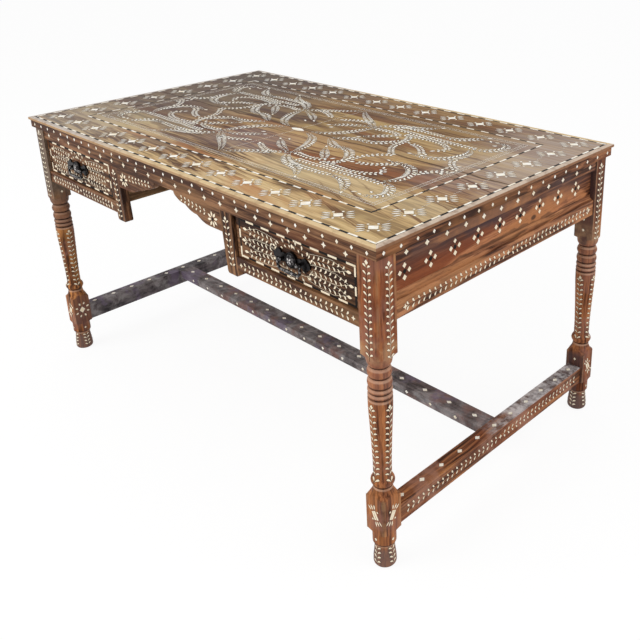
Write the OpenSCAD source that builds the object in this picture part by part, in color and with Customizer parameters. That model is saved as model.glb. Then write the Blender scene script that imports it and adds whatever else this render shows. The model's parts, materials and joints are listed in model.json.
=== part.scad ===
// Writing desk with two drawers, turned legs and an H stretcher.
// X runs along the desk, +Y is the back, +Z is up, and the floor is z = 0.

/* [Overall size] */
// Length of the top over its lips
top_l = 1438; // [1250:1:1600]
// Depth of the top over its lips
top_d = 845; // [760:1:950]
// Height of the top above the floor
desk_h = 768; // [735:1:800]

/* [Top] */
// Thickness of the top
top_t = 29; // [24:0.5:34]
// Height of the worn lip round the top edge
lip_h = 8; // [5:0.5:12]
// How far the lip stands out beyond the band below it
lip_out = 4.5; // [2:0.5:7]
// Radius of the lip's rounded nose
lip_r = 2.5; // [1:0.5:3]
// Width of the edge strips in plan
edge_w = 14; // [11:0.5:20]
// Width of the front top board
board_1_w = 245; // [200:1:260]
// Width of the second top board
board_2_w = 175; // [150:1:200]
// Width of the third top board
board_3_w = 190; // [150:1:210]
// Seam between two top boards
seam = 0.3; // [0:0.1:1]

/* [Legs] */
// Width of the square posts and blocks
post_w = 52; // [46:1:58]
// Set back of the posts from the lip at the ends
post_in_x = 10; // [6:0.5:30]
// Set back of the posts from the lip at front and back
post_in_y = 9; // [6:0.5:30]
// Length of the square upper block below the top
upper_block_h = 219; // [190:1:240]
// Bottom of the square lower block above the floor
lower_block_z = 93; // [85:1:105]
// Height of the square lower block
lower_block_h = 91; // [80:1:105]
// Chamfer on the outer corner of the upper block
upper_chamfer = 9.5; // [4:0.5:12]
// Chamfer on the outer corner of the lower block
lower_chamfer = 5; // [2:0.5:8]
// Radius of the thickest turned rings
ring_r = 26; // [23:0.5:28]
// Height of each of the two thick rings below the upper block
thick_ring_h = 19.5; // [14:0.5:24]
// Height of each of the two thin rings at the top of the shaft
thin_ring_h = 10.5; // [7:0.5:13]
// Radius of the grooves between the rings
groove_r = 21; // [17:0.5:22]
// Radius at the top of the tapered shaft
shaft_top_r = 26; // [23:0.5:28]
// Radius at the foot of the tapered shaft
shaft_low_r = 19.8; // [16:0.1:21]
// Radius of the bead below the shaft
bead_r = 26; // [22:0.5:27]
// Radius at the top of the foot
foot_top_r = 21.5; // [18:0.5:23]
// Largest radius of the foot
foot_r = 25.5; // [23:0.5:27]
// Radius of the foot's flat base
base_r = 17; // [12:0.5:20]

/* [Front] */
// Height of the front top rail
front_rail_h = 29; // [24:1:34]
// Thickness of the front and side rails
rail_t = 24; // [22:1:28]
// Set back of the rails from the faces of the posts
face_in = 3; // [1:0.5:5]
// Height of the drawer openings
drawer_open_h = 100; // [80:1:110]
// Height of the rail under each drawer
low_rail_h = 32; // [26:1:38]
// Width of the knee opening between the inner posts
knee_w = 454; // [400:1:480]
// How far the knee opening sits to the left of the middle
knee_left = 10; // [0:1:20]
// Width of the inner posts
inner_post_w = 41; // [36:1:50]
// Thickness of the inner posts
inner_post_t = 21; // [16:1:24]
// How far the hand-set inner posts lean to the right at their feet
post_lean = 12; // [0:1:14]
// How far the inner posts reach below the drawer rails
inner_post_drop = 19; // [6:1:24]
// Radius at the bottom corners of the inner posts
nose_r = 7; // [3:0.5:12]
// Thickness of the carved brackets
bracket_t = 18; // [12:1:22]
// Depth of the brackets at the inner posts
bracket_h = 52; // [42:1:58]
// Depth of the left bracket at its tip
bracket_left_tip = 15; // [6:0.5:18]
// Depth of the right bracket at its tip
bracket_right_tip = 9; // [6:0.5:18]
// Length of the left bracket
bracket_left_l = 166; // [150:1:185]
// Length of the right bracket
bracket_right_l = 188; // [150:1:195]
// Flat length of each bracket beside its post
bracket_flat = 50; // [30:1:60]

/* [Ends and back] */
// Height of the top rail at the ends and back
wall_rail_h = 27; // [24:1:32]
// Height of the panel seen between the rails
panel_h = 79; // [70:1:85]
// Height of the lower rail
wall_low_h = 40; // [34:1:46]
// Set back of the panels from the faces of the posts
panel_in = 15; // [12:0.5:17]
// Thickness of the panels
panel_t = 8; // [5:0.5:9]
// Depth of the grooves that hold the panels
groove_d = 8; // [5:0.5:9]

/* [Stretchers] */
// Top of the stretchers above the floor
stretcher_z = 142; // [134:1:152]
// Height of the end stretchers
end_stretcher_h = 48; // [36:1:50]
// Width of the end stretchers
end_stretcher_w = 38; // [32:1:42]
// Width of the long stretcher
long_stretcher_w = 52; // [44:1:60]
// Thickness of the long stretcher
long_stretcher_h = 23; // [20:1:30]

/* [Joints] */
// Length of the tenons
tenon_l = 20; // [14:1:22]
// Thickness of the tenons
tenon_t = 9; // [7:0.5:10]
// Shoulder left round each tenon
shoulder = 5; // [3:0.5:7]
// Clearance round tenons, panels and screws
fit = 0.2; // [0.1:0.05:0.4]

/* [Drawers] */
// Gap round each drawer front
front_gap = 1.5; // [1:0.1:3]
// Set back of the drawer fronts from the rails
front_in = 5; // [1:0.5:7]
// Thickness of the drawer fronts
front_t = 20; // [16:1:24]
// Depth of the drawer box behind its front
drawer_d = 460; // [380:1:520]
// Height of the drawer sides
drawer_side_h = 94; // [70:1:94]
// Thickness of the drawer sides and back
drawer_wall_t = 12; // [9:0.5:14]
// Thickness of the drawer bottoms
bottom_t = 5; // [4:0.5:7]
// Height of the drawer bottom above the lower edge of the sides
bottom_up = 8; // [6:0.5:12]
// Depth of the grooves round the drawer bottoms
bottom_groove = 4; // [3:0.5:5]
// Width of the runners under the drawer sides
runner_w = 30; // [24:1:36]
// Height of the runners
runner_h = 17; // [12:1:20]
// Width of the guides beside the drawers
guide_w = 9; // [7:0.5:12]
// Height of the guides
guide_h = 15; // [10:1:20]
// Running gap beside each drawer
side_gap = 1; // [0.5:0.1:2]
// Running gap under each drawer
under_gap = 0.5; // [0.3:0.1:1]
// Length of the stop behind each drawer side
stop_l = 20; // [12:1:30]
// Width of the kicker above each drawer
kicker_w = 30; // [24:1:40]

/* [Top fixing] */
// Width and height of the cleats under the top
cleat_w = 20; // [16:1:26]
// Radius of the screw shanks
screw_r = 2.2; // [1.5:0.1:3]
// Radius of the screw heads
screw_head_r = 4.5; // [4:0.1:6]
// Height of the screw heads
screw_head_h = 3; // [2:0.5:4]
// Depth that the screws enter the top
screw_in = 18; // [12:1:20]

/* [Handles] */
// Thickness of the backplates
plate_t = 4; // [2:0.5:5]
// Radius of the round boss in the middle of the backplate
boss_r = 18; // [14:0.5:19]
// Height of the boss above the backplate
boss_h = 7; // [4:0.5:8]
// Half the length of a backplate
plate_half_l = 58.5; // [54:0.5:64]
// How far the handles sit to the left of the middle of their drawers
handle_left = 5; // [0:1:10]
// Distance from the middle of a handle to each of its posts
handle_post_x = 26.5; // [26:0.5:32]
// Radius of the knobs that carry the bail
knob_r = 5; // [4.5:0.1:6]
// Distance of the bail's pivot in front of the backplate
pivot_out = 8; // [7.5:0.5:12]
// Drop of the pivot below the middle of the drawer front
pivot_drop = 2; // [0:0.5:4]
// Radius of the rod of the bail
bail_r = 3.4; // [2.6:0.1:3.8]
// Radius of the bail's pivot pins
bail_pin_r = 2; // [1.6:0.1:2.2]
// Clearance between a pivot pin and its eye
pin_fit = 0.3; // [0.2:0.05:0.5]
// Drop of the bail's bar below its pivots
bail_drop = 22.5; // [20:0.5:28]
// Inner bend radius at the bail's corners
bail_bend = 7; // [4:0.5:9]
// Radius of the bolts through the drawer front
bolt_r = 2.5; // [2:0.1:3]
// Radius of the nuts inside the drawer, over their corners
nut_r = 6; // [5:0.5:7]
// Thickness of the nuts
nut_t = 4; // [3:0.5:5]

/* [Hidden] */

top_tan = [0.55, 0.42, 0.25];
lip_tan = [0.72, 0.60, 0.43];
apron_brown = [0.36, 0.27, 0.21];
leg_brown = [0.47, 0.27, 0.17];
end_brown = [0.42, 0.24, 0.17];
dark_brown = [0.17, 0.13, 0.13];
pale_wood = [0.62, 0.50, 0.36];
iron = [0.10, 0.10, 0.11];
steel = [0.55, 0.55, 0.56];

// Facets of round parts, points of short arcs, and how far a cut runs past the face it opens
fine = 64;
arc_n = 6;
cut = 1;

// Faces of the frame, measured from the middle of the desk
top_z = desk_h - top_t;
post_x = top_l / 2 - post_in_x;
post_y = top_d / 2 - post_in_y;
leg_x = post_x - post_w / 2;
leg_y = post_y - post_w / 2;
bay_x = post_x - post_w;
bay_y = post_y - post_w;
rail_y = post_y - face_in;
rail_back_y = rail_y - rail_t;

// Levels of the frame, from the top down
front_rail_z = top_z - front_rail_h;
bay_z = front_rail_z - drawer_open_h;
low_rail_z = bay_z - low_rail_h;
inner_post_z = low_rail_z - inner_post_drop;
wall_rail_z = top_z - wall_rail_h;
panel_z = wall_rail_z - panel_h;
wall_low_z = panel_z - wall_low_h;
upper_block_z = top_z - upper_block_h;
lower_block_top = lower_block_z + lower_block_h;

// The sides of the knee opening: s = 1 is the right one and s = -1 the left one, and every
// distance is measured outwards from the middle of the desk
function knee_x(s) = knee_w / 2 - s * knee_left;
function lean_x(s, z) = s * post_lean * (0.5 - (z - inner_post_z) / (front_rail_z - inner_post_z));
function inner_x(s) = knee_x(s) + inner_post_w + post_lean / 2;

// The drawers, with y as distance forward from the middle
function drawer_x0(s) = inner_x(s) + guide_w + side_gap;
function drawer_mid_x(s) = (inner_x(s) + bay_x) / 2;
function handle_x(s) = drawer_mid_x(s) - s * handle_left;
drawer_x1 = bay_x - guide_w - side_gap;
front_y = rail_y - front_in;
front_back_y = front_y - front_t;
box_y = front_back_y - drawer_d;
drawer_z = bay_z + under_gap;
bottom_z = drawer_z + bottom_up;
handle_z = (bay_z + front_rail_z) / 2;
pivot_y = front_y + plate_t + pivot_out;
pivot_z = handle_z - pivot_drop;

// Moves what is built at the +X end or the +Y side to the other one
module at_end(s) {
  if (s > 0) children();
  else mirror([1, 0, 0]) children();
}

module at_side(s) {
  if (s > 0) children();
  else mirror([0, 1, 0]) children();
}

// A box between two corners
module block(lo, hi) {
  translate(lo) cube(hi - lo);
}

// Points of an arc about c, from angle a0 to a1
function arc(c, r, a0, a1, n = arc_n) =
  [for (i = [0 : n]) c + r * [cos(a0 + (a1 - a0) * i / n), sin(a0 + (a1 - a0) * i / n)]];

// Points of a turned bulge between two levels, out from radius r by swell
function bulge(r, swell, z0, z1, n = arc_n) =
  [for (i = [0 : n]) [r + swell * sin(180 * i / n), z0 + (z1 - z0) * i / n]];

// The top: four boards inside mitred edge strips

board_in_x = top_l / 2 - edge_w;
board_in_y = top_d / 2 - edge_w;
board_ends = [
  -board_in_y,
  -board_in_y + board_1_w,
  -board_in_y + board_1_w + board_2_w,
  -board_in_y + board_1_w + board_2_w + board_3_w,
  board_in_y
];
cleat_x = post_x - face_in - rail_t - cleat_w / 2;

module top_board(i) {
  lo = board_ends[i] + (i > 0 ? seam / 2 : 0);
  hi = board_ends[i + 1] - (i < 3 ? seam / 2 : 0);
  mid = (board_ends[i] + board_ends[i + 1]) / 2;
  color(top_tan) difference() {
    block([-board_in_x, lo, top_z], [board_in_x, hi, desk_h]);
    for (s = [-1, 1])
      translate([s * cleat_x, mid, top_z - cut])
        cylinder(r = screw_r + fit, h = screw_in + cut + fit, $fn = fine);
  }
}

// Section of an edge strip, as distance in from the lip and height
function edge_section() = concat(
  [[edge_w, 0], [lip_out, 0], [lip_out, top_t - lip_h]],
  arc([lip_r, top_t - lip_h + lip_r], lip_r, 270, 180),
  arc([lip_r, top_t - lip_r], lip_r, 180, 90),
  [[edge_w, top_t]]
);

// An edge strip along X with its lip towards -Y, mitred at both ends
module edge_strip(l, d) {
  translate([0, -d / 2, top_z]) intersection() {
    translate([-l / 2, 0, 0]) rotate([90, 0, 90]) linear_extrude(l) polygon(edge_section());
    translate([0, 0, -cut]) linear_extrude(top_t + 2 * cut) polygon([
      [-l / 2, 0], [l / 2, 0], [l / 2 - edge_w - cut, edge_w + cut], [-l / 2 + edge_w + cut, edge_w + cut]
    ]);
  }
}

module top_edge_long(s) {
  color(lip_tan) at_side(-s) edge_strip(top_l, top_d);
}

module top_edge_end(s) {
  color(lip_tan) at_end(s) rotate([0, 0, 90]) edge_strip(top_d, top_l);
}

// The legs, built at the +X +Y corner of the desk

// Turned outlines pass the corners of a block by corner_clear, and turned pieces enter each
// other by turn_overlap with a core that is core_step thinner than the grooves
corner_clear = 2;
corner_r = post_w / sqrt(2) + corner_clear;
turn_overlap = 6;
core_step = 1;
core_r = groove_r - core_step;

// Square section of a post with its outer corner chamfered
module post_section(chamfer) {
  h = post_w / 2;
  polygon([[-h, -h], [h, -h], [h, h - chamfer], [h - chamfer, h], [-h, h]]);
}

// A square block whose ends are turned down to the points of a revolved outline
module turned_block(z0, z1, chamfer, outline) {
  intersection() {
    translate([0, 0, z0]) linear_extrude(z1 - z0) post_section(chamfer);
    rotate_extrude($fn = fine) polygon(outline);
  }
}

// Hollow shoulder that spreads from radius r at level z out past the corners of a block
shoulder_h = 6;
function hollow(r, z) = [
  for (i = [0 : arc_n]) let (a = 90 * i / arc_n)
    [corner_r - (corner_r - r) * cos(a), z + shoulder_h * sin(a)]
];

// The neck under the upper block runs down to the groove over the rings
upper_neck = 24;
neck_r = ring_r + 1;
neck_swell_h = 10;
neck_drop = 4;
neck_z = upper_block_z - upper_neck;

module upper_block() {
  turned_block(neck_z, top_z, upper_chamfer, concat(
    [[0, neck_z], [groove_r, neck_z], [ring_r, neck_z + neck_swell_h]],
    [[neck_r, upper_block_z - 2 * neck_drop]],
    hollow(neck_r, upper_block_z - neck_drop),
    [[corner_r, top_z], [0, top_z]]
  ));
}

// The lower block stands on a turned collar and is domed over
collar_h = 34;
collar_z = lower_block_z - collar_h;
collar_edge = 4;
dome_h = 24;
dome_drop = 3;

module lower_block() {
  turned_block(collar_z, lower_block_top + dome_h, lower_chamfer, concat(
    [[0, collar_z]],
    arc([ring_r - collar_edge, collar_z + collar_edge], collar_edge, 300, 360),
    hollow(ring_r, lower_block_z - neck_drop),
    [[corner_r, lower_block_top - dome_drop]],
    [for (i = [1 : arc_n]) let (a = 90 * i / arc_n) [
      corner_r - (corner_r - groove_r) * sin(a),
      lower_block_top - dome_drop + (dome_h + dome_drop) * (1 - cos(a))
    ]],
    [[0, lower_block_top + dome_h]]
  ));
}

// Between the blocks: a bead, the tapered shaft, and four rings with grooves between them
bead_gap = 2;
bead_z = lower_block_top + dome_h + bead_gap;
bead_h = 21;

// Each ring from the lowest up: its height, the groove under it, how far it swells, and the
// radius in that groove
crease_r = ring_r - 4.5;
rings = [
  [thin_ring_h, 2.5, 2, crease_r], [thin_ring_h, 2, 2, crease_r],
  [thick_ring_h, 2, 2.5, crease_r], [thick_ring_h, 4.5, 3.5, groove_r]
];
rings_gap = 2.5;
function stack_h(n) = n < 0 ? 0 : rings[n][0] + rings[n][1] + stack_h(n - 1);
shaft_top_z = neck_z - rings_gap - stack_h(3);

// Taper of the shaft, as share of its height and share of its growth
shaft_gap = 3;
shaft_z = bead_z + bead_h + shaft_gap;
shaft_levels = [[0, 0], [0.2, 0.03], [0.45, 0.32], [0.68, 0.66], [0.86, 0.93], [1, 1]];

module shaft_and_rings() {
  low = bead_z - bead_gap;
  rotate_extrude($fn = fine) polygon(concat(
    [[0, low - turn_overlap], [core_r, low - turn_overlap], [core_r, low]],
    bulge(groove_r, bead_r - groove_r, bead_z, bead_z + bead_h),
    [for (t = shaft_levels) [
      shaft_low_r + (shaft_top_r - shaft_low_r) * t[1], shaft_z + (shaft_top_z - shaft_z) * t[0]
    ]],
    [for (k = [0 : 3]) let (
      ring_h = rings[k][0],
      swell = rings[k][2],
      z = shaft_top_z + stack_h(k) - ring_h
    ) each concat(
      [[rings[k][3], z - rings[k][1] / 2]],
      bulge(ring_r - swell, swell, z, z + ring_h)
    )],
    [[groove_r, neck_z - core_step], [core_r, neck_z]],
    [[core_r, neck_z + turn_overlap], [0, neck_z + turn_overlap]]
  ));
}

// Taper of the foot, as share of its height and share of its loss from foot_r to foot_top_r
foot_edge = 8;
foot_levels = [[0.34, 0.1], [0.66, 0.65], [0.93, 1]];

module foot() {
  rotate_extrude($fn = fine) polygon(concat(
    [[0, 0], [base_r, 0]],
    arc([foot_r - foot_edge, foot_edge], foot_edge, 300, 360),
    [for (t = foot_levels) [foot_r + (foot_top_r - foot_r) * t[1], collar_z * t[0]]],
    [[foot_top_r, collar_z + turn_overlap], [0, collar_z + turn_overlap]]
  ));
}

// Mortise along X or Y, entering the post from its inner face, between two levels
module mortise_x(y, z0, z1, l) {
  block([bay_x - cut, y - tenon_t / 2 - fit, z0 - fit], [bay_x + l + fit, y + tenon_t / 2 + fit, z1 + fit]);
}

module mortise_y(x, z0, z1, l) {
  block([x - tenon_t / 2 - fit, bay_y - cut, z0 - fit], [x + tenon_t / 2 + fit, bay_y + l + fit, z1 + fit]);
}

front_tenon_y = rail_y - rail_t / 2;
end_tenon_x = post_x - face_in - rail_t / 2;
groove_wall = 2;
wall_tenon_z = [wall_rail_z + groove_d + groove_wall, top_z - shoulder];
low_tenon_z = [wall_low_z + shoulder, panel_z - groove_d - groove_wall];

// s = -1 makes a front leg's mortises and s = 1 a back leg's
module leg_corner(s) {
  difference() {
    union() {
      translate([leg_x, leg_y, 0]) {
        foot();
        lower_block();
        shaft_and_rings();
        upper_block();
      }
    }
    mortise_y(end_tenon_x, wall_tenon_z[0], wall_tenon_z[1], tenon_l);
    mortise_y(end_tenon_x, low_tenon_z[0], low_tenon_z[1], tenon_l);
    block([post_x - panel_in - panel_t - fit, bay_y - cut, panel_z - groove_d - fit],
          [post_x - panel_in + fit, bay_y + groove_d + fit, wall_rail_z + groove_d + fit]);
    mortise_y(leg_x, stretcher_z - end_stretcher_h + shoulder, stretcher_z - shoulder, tenon_l);
    if (s < 0) {
      mortise_x(front_tenon_y, front_rail_z + shoulder, top_z - shoulder, tenon_l);
      mortise_x(front_tenon_y, low_rail_z + shoulder, bay_z - shoulder, tenon_l);
    } else {
      mortise_x(front_tenon_y, wall_tenon_z[0], wall_tenon_z[1], tenon_l);
      mortise_x(front_tenon_y, low_tenon_z[0], low_tenon_z[1], tenon_l);
      block([bay_x - cut, post_y - panel_in - panel_t - fit, panel_z - groove_d - fit],
            [bay_x + groove_d + fit, post_y - panel_in + fit, wall_rail_z + groove_d + fit]);
    }
  }
}

module leg(sx, sy) {
  color(leg_brown) at_end(sx) at_side(sy) leg_corner(sy);
}

// The front frame

// Built with y as distance forward from the middle of the desk
module front_top_rail() {
  color(apron_brown) at_side(-1) difference() {
    union() {
      block([-bay_x, rail_back_y, front_rail_z], [bay_x, rail_y, top_z]);
      block([-bay_x - tenon_l, front_tenon_y - tenon_t / 2, front_rail_z + shoulder],
            [bay_x + tenon_l, front_tenon_y + tenon_t / 2, top_z - shoulder]);
    }
    for (s = [-1, 1]) at_end(s) post_tenon(s, fit);
  }
}

post_tenon_h = 14;

// Tenon at the top of an inner post, or its mortise when grown by g
module post_tenon(s, g) {
  x = knee_x(s) + lean_x(s, front_rail_z);
  block([x + shoulder - g, post_tenon_y - tenon_t / 2 - g, front_rail_z - cut],
        [x + inner_post_w - shoulder + g, post_tenon_y + tenon_t / 2 + g, front_rail_z + post_tenon_h + g]);
}

post_tenon_y = rail_y - inner_post_t / 2;

// Tenon at the inner end of a drawer rail, or its mortise when grown by g
module drawer_rail_tenon(s, g) {
  x = knee_x(s) + inner_post_w;
  block([x - tenon_l - g, post_tenon_y - tenon_t / 2 - g, low_rail_z + shoulder - g],
        [x + post_lean, post_tenon_y + tenon_t / 2 + g, bay_z - shoulder + g]);
}

module drawer_rail(s) {
  x = knee_x(s) + inner_post_w;
  color(apron_brown) at_side(-1) at_end(s) {
    translate([0, rail_y, 0]) rotate([90, 0, 0]) linear_extrude(rail_t) polygon([
      [x + lean_x(s, low_rail_z), low_rail_z], [bay_x, low_rail_z],
      [bay_x, bay_z], [x + lean_x(s, bay_z), bay_z]
    ]);
    drawer_rail_tenon(s, 0);
    block([bay_x - cut, front_tenon_y - tenon_t / 2, low_rail_z + shoulder],
          [bay_x + tenon_l, front_tenon_y + tenon_t / 2, bay_z - shoulder]);
  }
}

// Front face of an inner post, with its two bottom corners rounded
module inner_post_face(s) {
  z = inner_post_z + nose_r;
  low = lean_x(s, z);
  high = lean_x(s, front_rail_z);
  x = knee_x(s);
  polygon(concat(
    arc([x + low + nose_r, z], nose_r, 180, 270),
    arc([x + low + inner_post_w - nose_r, z], nose_r, 270, 360),
    [[x + high + inner_post_w, front_rail_z], [x + high, front_rail_z]]
  ));
}

module inner_post(s) {
  color(apron_brown) at_side(-1) at_end(s) difference() {
    union() {
      translate([0, rail_y, 0]) rotate([90, 0, 0]) linear_extrude(inner_post_t) inner_post_face(s);
      post_tenon(s, 0);
    }
    drawer_rail_tenon(s, fit);
  }
}

// Lower edge of a bracket: three scallops that rise from the flat to the tip, and a nose.
// Points are distance from the post and depth below the rail. The values are the shares of the
// length where scallops meet, their swell, and the nose as shares of the tip's depth.
scallops = [0, 0.36, 0.70, 1];
scallop_swell = 4;
nose_out = 0.5;
nose_up = 0.33;
function scallop_edge(l, tip) = [
  for (k = [0 : 2], i = [0 : arc_n])
    let (t = scallops[k] + (scallops[k + 1] - scallops[k]) * i / arc_n)
      [bracket_flat + (l - bracket_flat) * t,
       bracket_h + (tip - bracket_h) * t + (i < arc_n ? scallop_swell * sin(180 * i / arc_n) : 0)]
];

module bracket(s) {
  l = s > 0 ? bracket_right_l : bracket_left_l;
  tip = s > 0 ? bracket_right_tip : bracket_left_tip;
  nose = l + tip * nose_out;
  high = lean_x(s, front_rail_z);
  low = lean_x(s, front_rail_z - bracket_h);
  edge = concat([[-low, bracket_h]], scallop_edge(l, tip), [[nose, tip * nose_up], [nose, 0]]);
  color(apron_brown) at_side(-1) at_end(s)
    translate([knee_x(s), rail_y, front_rail_z]) rotate([90, 0, 0]) linear_extrude(bracket_t)
      polygon(concat([[high, 0]], [for (p = edge) [-p[0], -p[1]]]));
}

// The ends and the back. Each wall piece lies along X with its outer side at y = 0,
// measured from the faces of the posts, and is l long between them.

module tenon_pair(l, z0, z1) {
  y = -face_in - rail_t / 2;
  for (s = [-1, 1])
    at_end(s) block([l / 2 - cut, y - tenon_t / 2, z0], [l / 2 + tenon_l, y + tenon_t / 2, z1]);
}

module wall_top_rail(l) {
  difference() {
    block([-l / 2, -face_in - rail_t, wall_rail_z], [l / 2, -face_in, top_z]);
    block([-l / 2 - cut, -panel_in - panel_t - fit, wall_rail_z - cut],
          [l / 2 + cut, -panel_in + fit, wall_rail_z + groove_d + fit]);
  }
  tenon_pair(l, wall_tenon_z[0], wall_tenon_z[1]);
}

module wall_panel(l) {
  block([-l / 2 - groove_d, -panel_in - panel_t, panel_z - groove_d],
        [l / 2 + groove_d, -panel_in, wall_rail_z + groove_d]);
}

// The lower rail carries a cove that runs up to the face of the panel
cove_r = panel_in - face_in - fit;

module wall_low_rail(l) {
  back = -face_in - rail_t;
  translate([-l / 2, 0, 0]) rotate([90, 0, 90]) linear_extrude(l) polygon(concat(
    [[back, wall_low_z], [-face_in, wall_low_z]],
    arc([-face_in, panel_z + cove_r], cove_r, 270, 180),
    [[-panel_in + fit, panel_z - groove_d - fit], [-panel_in - panel_t - fit, panel_z - groove_d - fit],
     [-panel_in - panel_t - fit, panel_z], [back, panel_z]]
  ));
  tenon_pair(l, low_tenon_z[0], low_tenon_z[1]);
}

module end_wall(s) {
  at_end(s) translate([post_x, 0, 0]) rotate([0, 0, -90]) children();
}

module back_wall() {
  translate([0, post_y, 0]) children();
}

end_l = 2 * bay_y;
back_l = 2 * bay_x;

module end_top_rail(s) { color(end_brown) end_wall(s) wall_top_rail(end_l); }
module end_panel(s) { color(end_brown) end_wall(s) wall_panel(end_l); }
module end_low_rail(s) { color(end_brown) end_wall(s) wall_low_rail(end_l); }
module back_top_rail() { color(end_brown) back_wall() wall_top_rail(back_l); }
module back_panel() { color(end_brown) back_wall() wall_panel(back_l); }
module back_low_rail() { color(end_brown) back_wall() wall_low_rail(back_l); }

// The stretchers

long_z = stretcher_z - long_stretcher_h;
stretcher_in_x = leg_x - end_stretcher_w / 2;

// Tenon at one end of the long stretcher, or its mortise when grown by g
module long_tenon(g) {
  block([stretcher_in_x - cut, -long_stretcher_w / 2 + shoulder - g, long_z + shoulder - g],
        [stretcher_in_x + tenon_l + g, long_stretcher_w / 2 - shoulder + g, stretcher_z - shoulder + g]);
}

module end_stretcher(s) {
  z0 = stretcher_z - end_stretcher_h;
  color(s > 0 ? leg_brown : dark_brown) at_end(s) difference() {
    union() {
      block([stretcher_in_x, -bay_y, z0], [leg_x + end_stretcher_w / 2, bay_y, stretcher_z]);
      block([leg_x - tenon_t / 2, -bay_y - tenon_l, z0 + shoulder],
            [leg_x + tenon_t / 2, bay_y + tenon_l, stretcher_z - shoulder]);
    }
    long_tenon(fit);
  }
}

module long_stretcher() {
  color(dark_brown) {
    block([-stretcher_in_x, -long_stretcher_w / 2, long_z],
          [stretcher_in_x, long_stretcher_w / 2, stretcher_z]);
    for (s = [-1, 1]) at_end(s) long_tenon(0);
  }
}

// What carries and guides the drawers

module runner(s, x0, x1) {
  color(pale_wood) at_end(s) block([x0, -rail_back_y, bay_z - runner_h], [x1, rail_back_y, bay_z]);
}

// The guides start clear behind the drawer front
guide_y = min(rail_back_y, front_back_y - front_gap);

module guides(s) {
  color(pale_wood) at_end(s) for (x = [inner_x(s), bay_x - guide_w])
    block([x, -guide_y, bay_z], [x + guide_w, rail_back_y, bay_z + guide_h]);
}

box_back_y = -front_y + front_t + drawer_d;

module drawer_stops() {
  y = box_back_y + under_gap;
  color(pale_wood) for (s = [-1, 1])
    for (x = [[drawer_x0(s), inner_x(s) + runner_w], [bay_x - runner_w, drawer_x1]])
      at_end(s) block([x[0], y, bay_z], [x[1], y + stop_l, bay_z + guide_h]);
}

module kicker(s) {
  x = drawer_mid_x(s);
  color(pale_wood) at_end(s)
    block([x - kicker_w / 2, -rail_back_y, front_rail_z], [x + kicker_w / 2, rail_back_y, top_z]);
}

// Cleats along the end rails, with a screw up into each top board

module each_screw() {
  for (i = [0 : 3])
    translate([cleat_x, (board_ends[i] + board_ends[i + 1]) / 2, top_z - cleat_w]) children();
}

module cleat(s) {
  color(pale_wood) at_end(s) difference() {
    block([cleat_x - cleat_w / 2, -bay_y, top_z - cleat_w], [cleat_x + cleat_w / 2, bay_y, top_z]);
    each_screw() {
      translate([0, 0, -cut]) cylinder(r = screw_r + fit, h = cleat_w + 2 * cut, $fn = fine);
      translate([0, 0, -cut]) cylinder(r = screw_head_r + fit, h = screw_head_h + cut, $fn = fine);
    }
  }
}

module top_screws() {
  color(steel) for (s = [-1, 1]) at_end(s) each_screw() {
    cylinder(r = screw_head_r, h = screw_head_h, $fn = fine);
    cylinder(r = screw_r, h = cleat_w + screw_in, $fn = fine);
  }
}

// The drawers, built at the +X end with y as distance forward from the middle

module drawer_at(s) {
  at_side(-1) at_end(s) children();
}

module drawer_front(s) {
  color(apron_brown) drawer_at(s) difference() {
    block([inner_x(s) + front_gap, front_back_y, bay_z + front_gap],
          [bay_x - front_gap, front_y, front_rail_z - front_gap]);
    block([drawer_x0(s) + drawer_wall_t - bottom_groove - fit, front_back_y - cut, bottom_z - fit],
          [drawer_x1 - drawer_wall_t + bottom_groove + fit, front_back_y + bottom_groove + fit,
           bottom_z + bottom_t + fit]);
    for (h = [-1, 1]) translate([handle_x(s) + h * handle_post_x, front_y + cut, pivot_z])
      rotate([90, 0, 0]) cylinder(r = bolt_r + fit, h = front_t + 2 * cut, $fn = fine);
  }
}

// A drawer side between x0 and x1, with the bottom's groove in the face towards the other side
module drawer_side(s, x0, x1, groove_x) {
  color(pale_wood) drawer_at(s) difference() {
    block([x0, box_y, drawer_z], [x1, front_back_y, drawer_z + drawer_side_h]);
    block([groove_x - bottom_groove - fit, box_y - cut, bottom_z - fit],
          [groove_x + bottom_groove + fit, front_back_y + cut, bottom_z + bottom_t + fit]);
  }
}

module drawer_outer_side(s) {
  drawer_side(s, drawer_x1 - drawer_wall_t, drawer_x1, drawer_x1 - drawer_wall_t);
}

module drawer_inner_side(s) {
  drawer_side(s, drawer_x0(s), drawer_x0(s) + drawer_wall_t, drawer_x0(s) + drawer_wall_t);
}

module drawer_back(s) {
  color(pale_wood) drawer_at(s)
    block([drawer_x0(s) + drawer_wall_t, box_y, bottom_z + bottom_t],
          [drawer_x1 - drawer_wall_t, box_y + drawer_wall_t, drawer_z + drawer_side_h]);
}

module drawer_bottom(s) {
  color(pale_wood) drawer_at(s)
    block([drawer_x0(s) + drawer_wall_t - bottom_groove, box_y, bottom_z],
          [drawer_x1 - drawer_wall_t + bottom_groove, front_back_y + bottom_groove, bottom_z + bottom_t]);
}

// The handles. What stands out of the backplate is built along +Z and then turned to face forward.

module handle_at(s) {
  drawer_at(s) translate([handle_x(s), front_y, handle_z]) rotate([-90, 0, 0]) children();
}

neck_w = 16;
lobe_r = 8.5;
side_lobe_out = 7.2;
post_pad_r = 10;

// Outline of one half of the backplate: a neck with a round pad under the post, which ends in
// a leaf of three lobes
module plate_half() {
  tip = plate_half_l - lobe_r;
  translate([0, -neck_w / 2]) square([tip, neck_w]);
  translate([tip, 0]) circle(r = lobe_r, $fn = fine);
  for (t = [-1, 1]) translate([tip - lobe_r, t * side_lobe_out]) circle(r = lobe_r, $fn = fine);
  translate([handle_post_x, 0]) circle(r = post_pad_r, $fn = fine);
}

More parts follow.
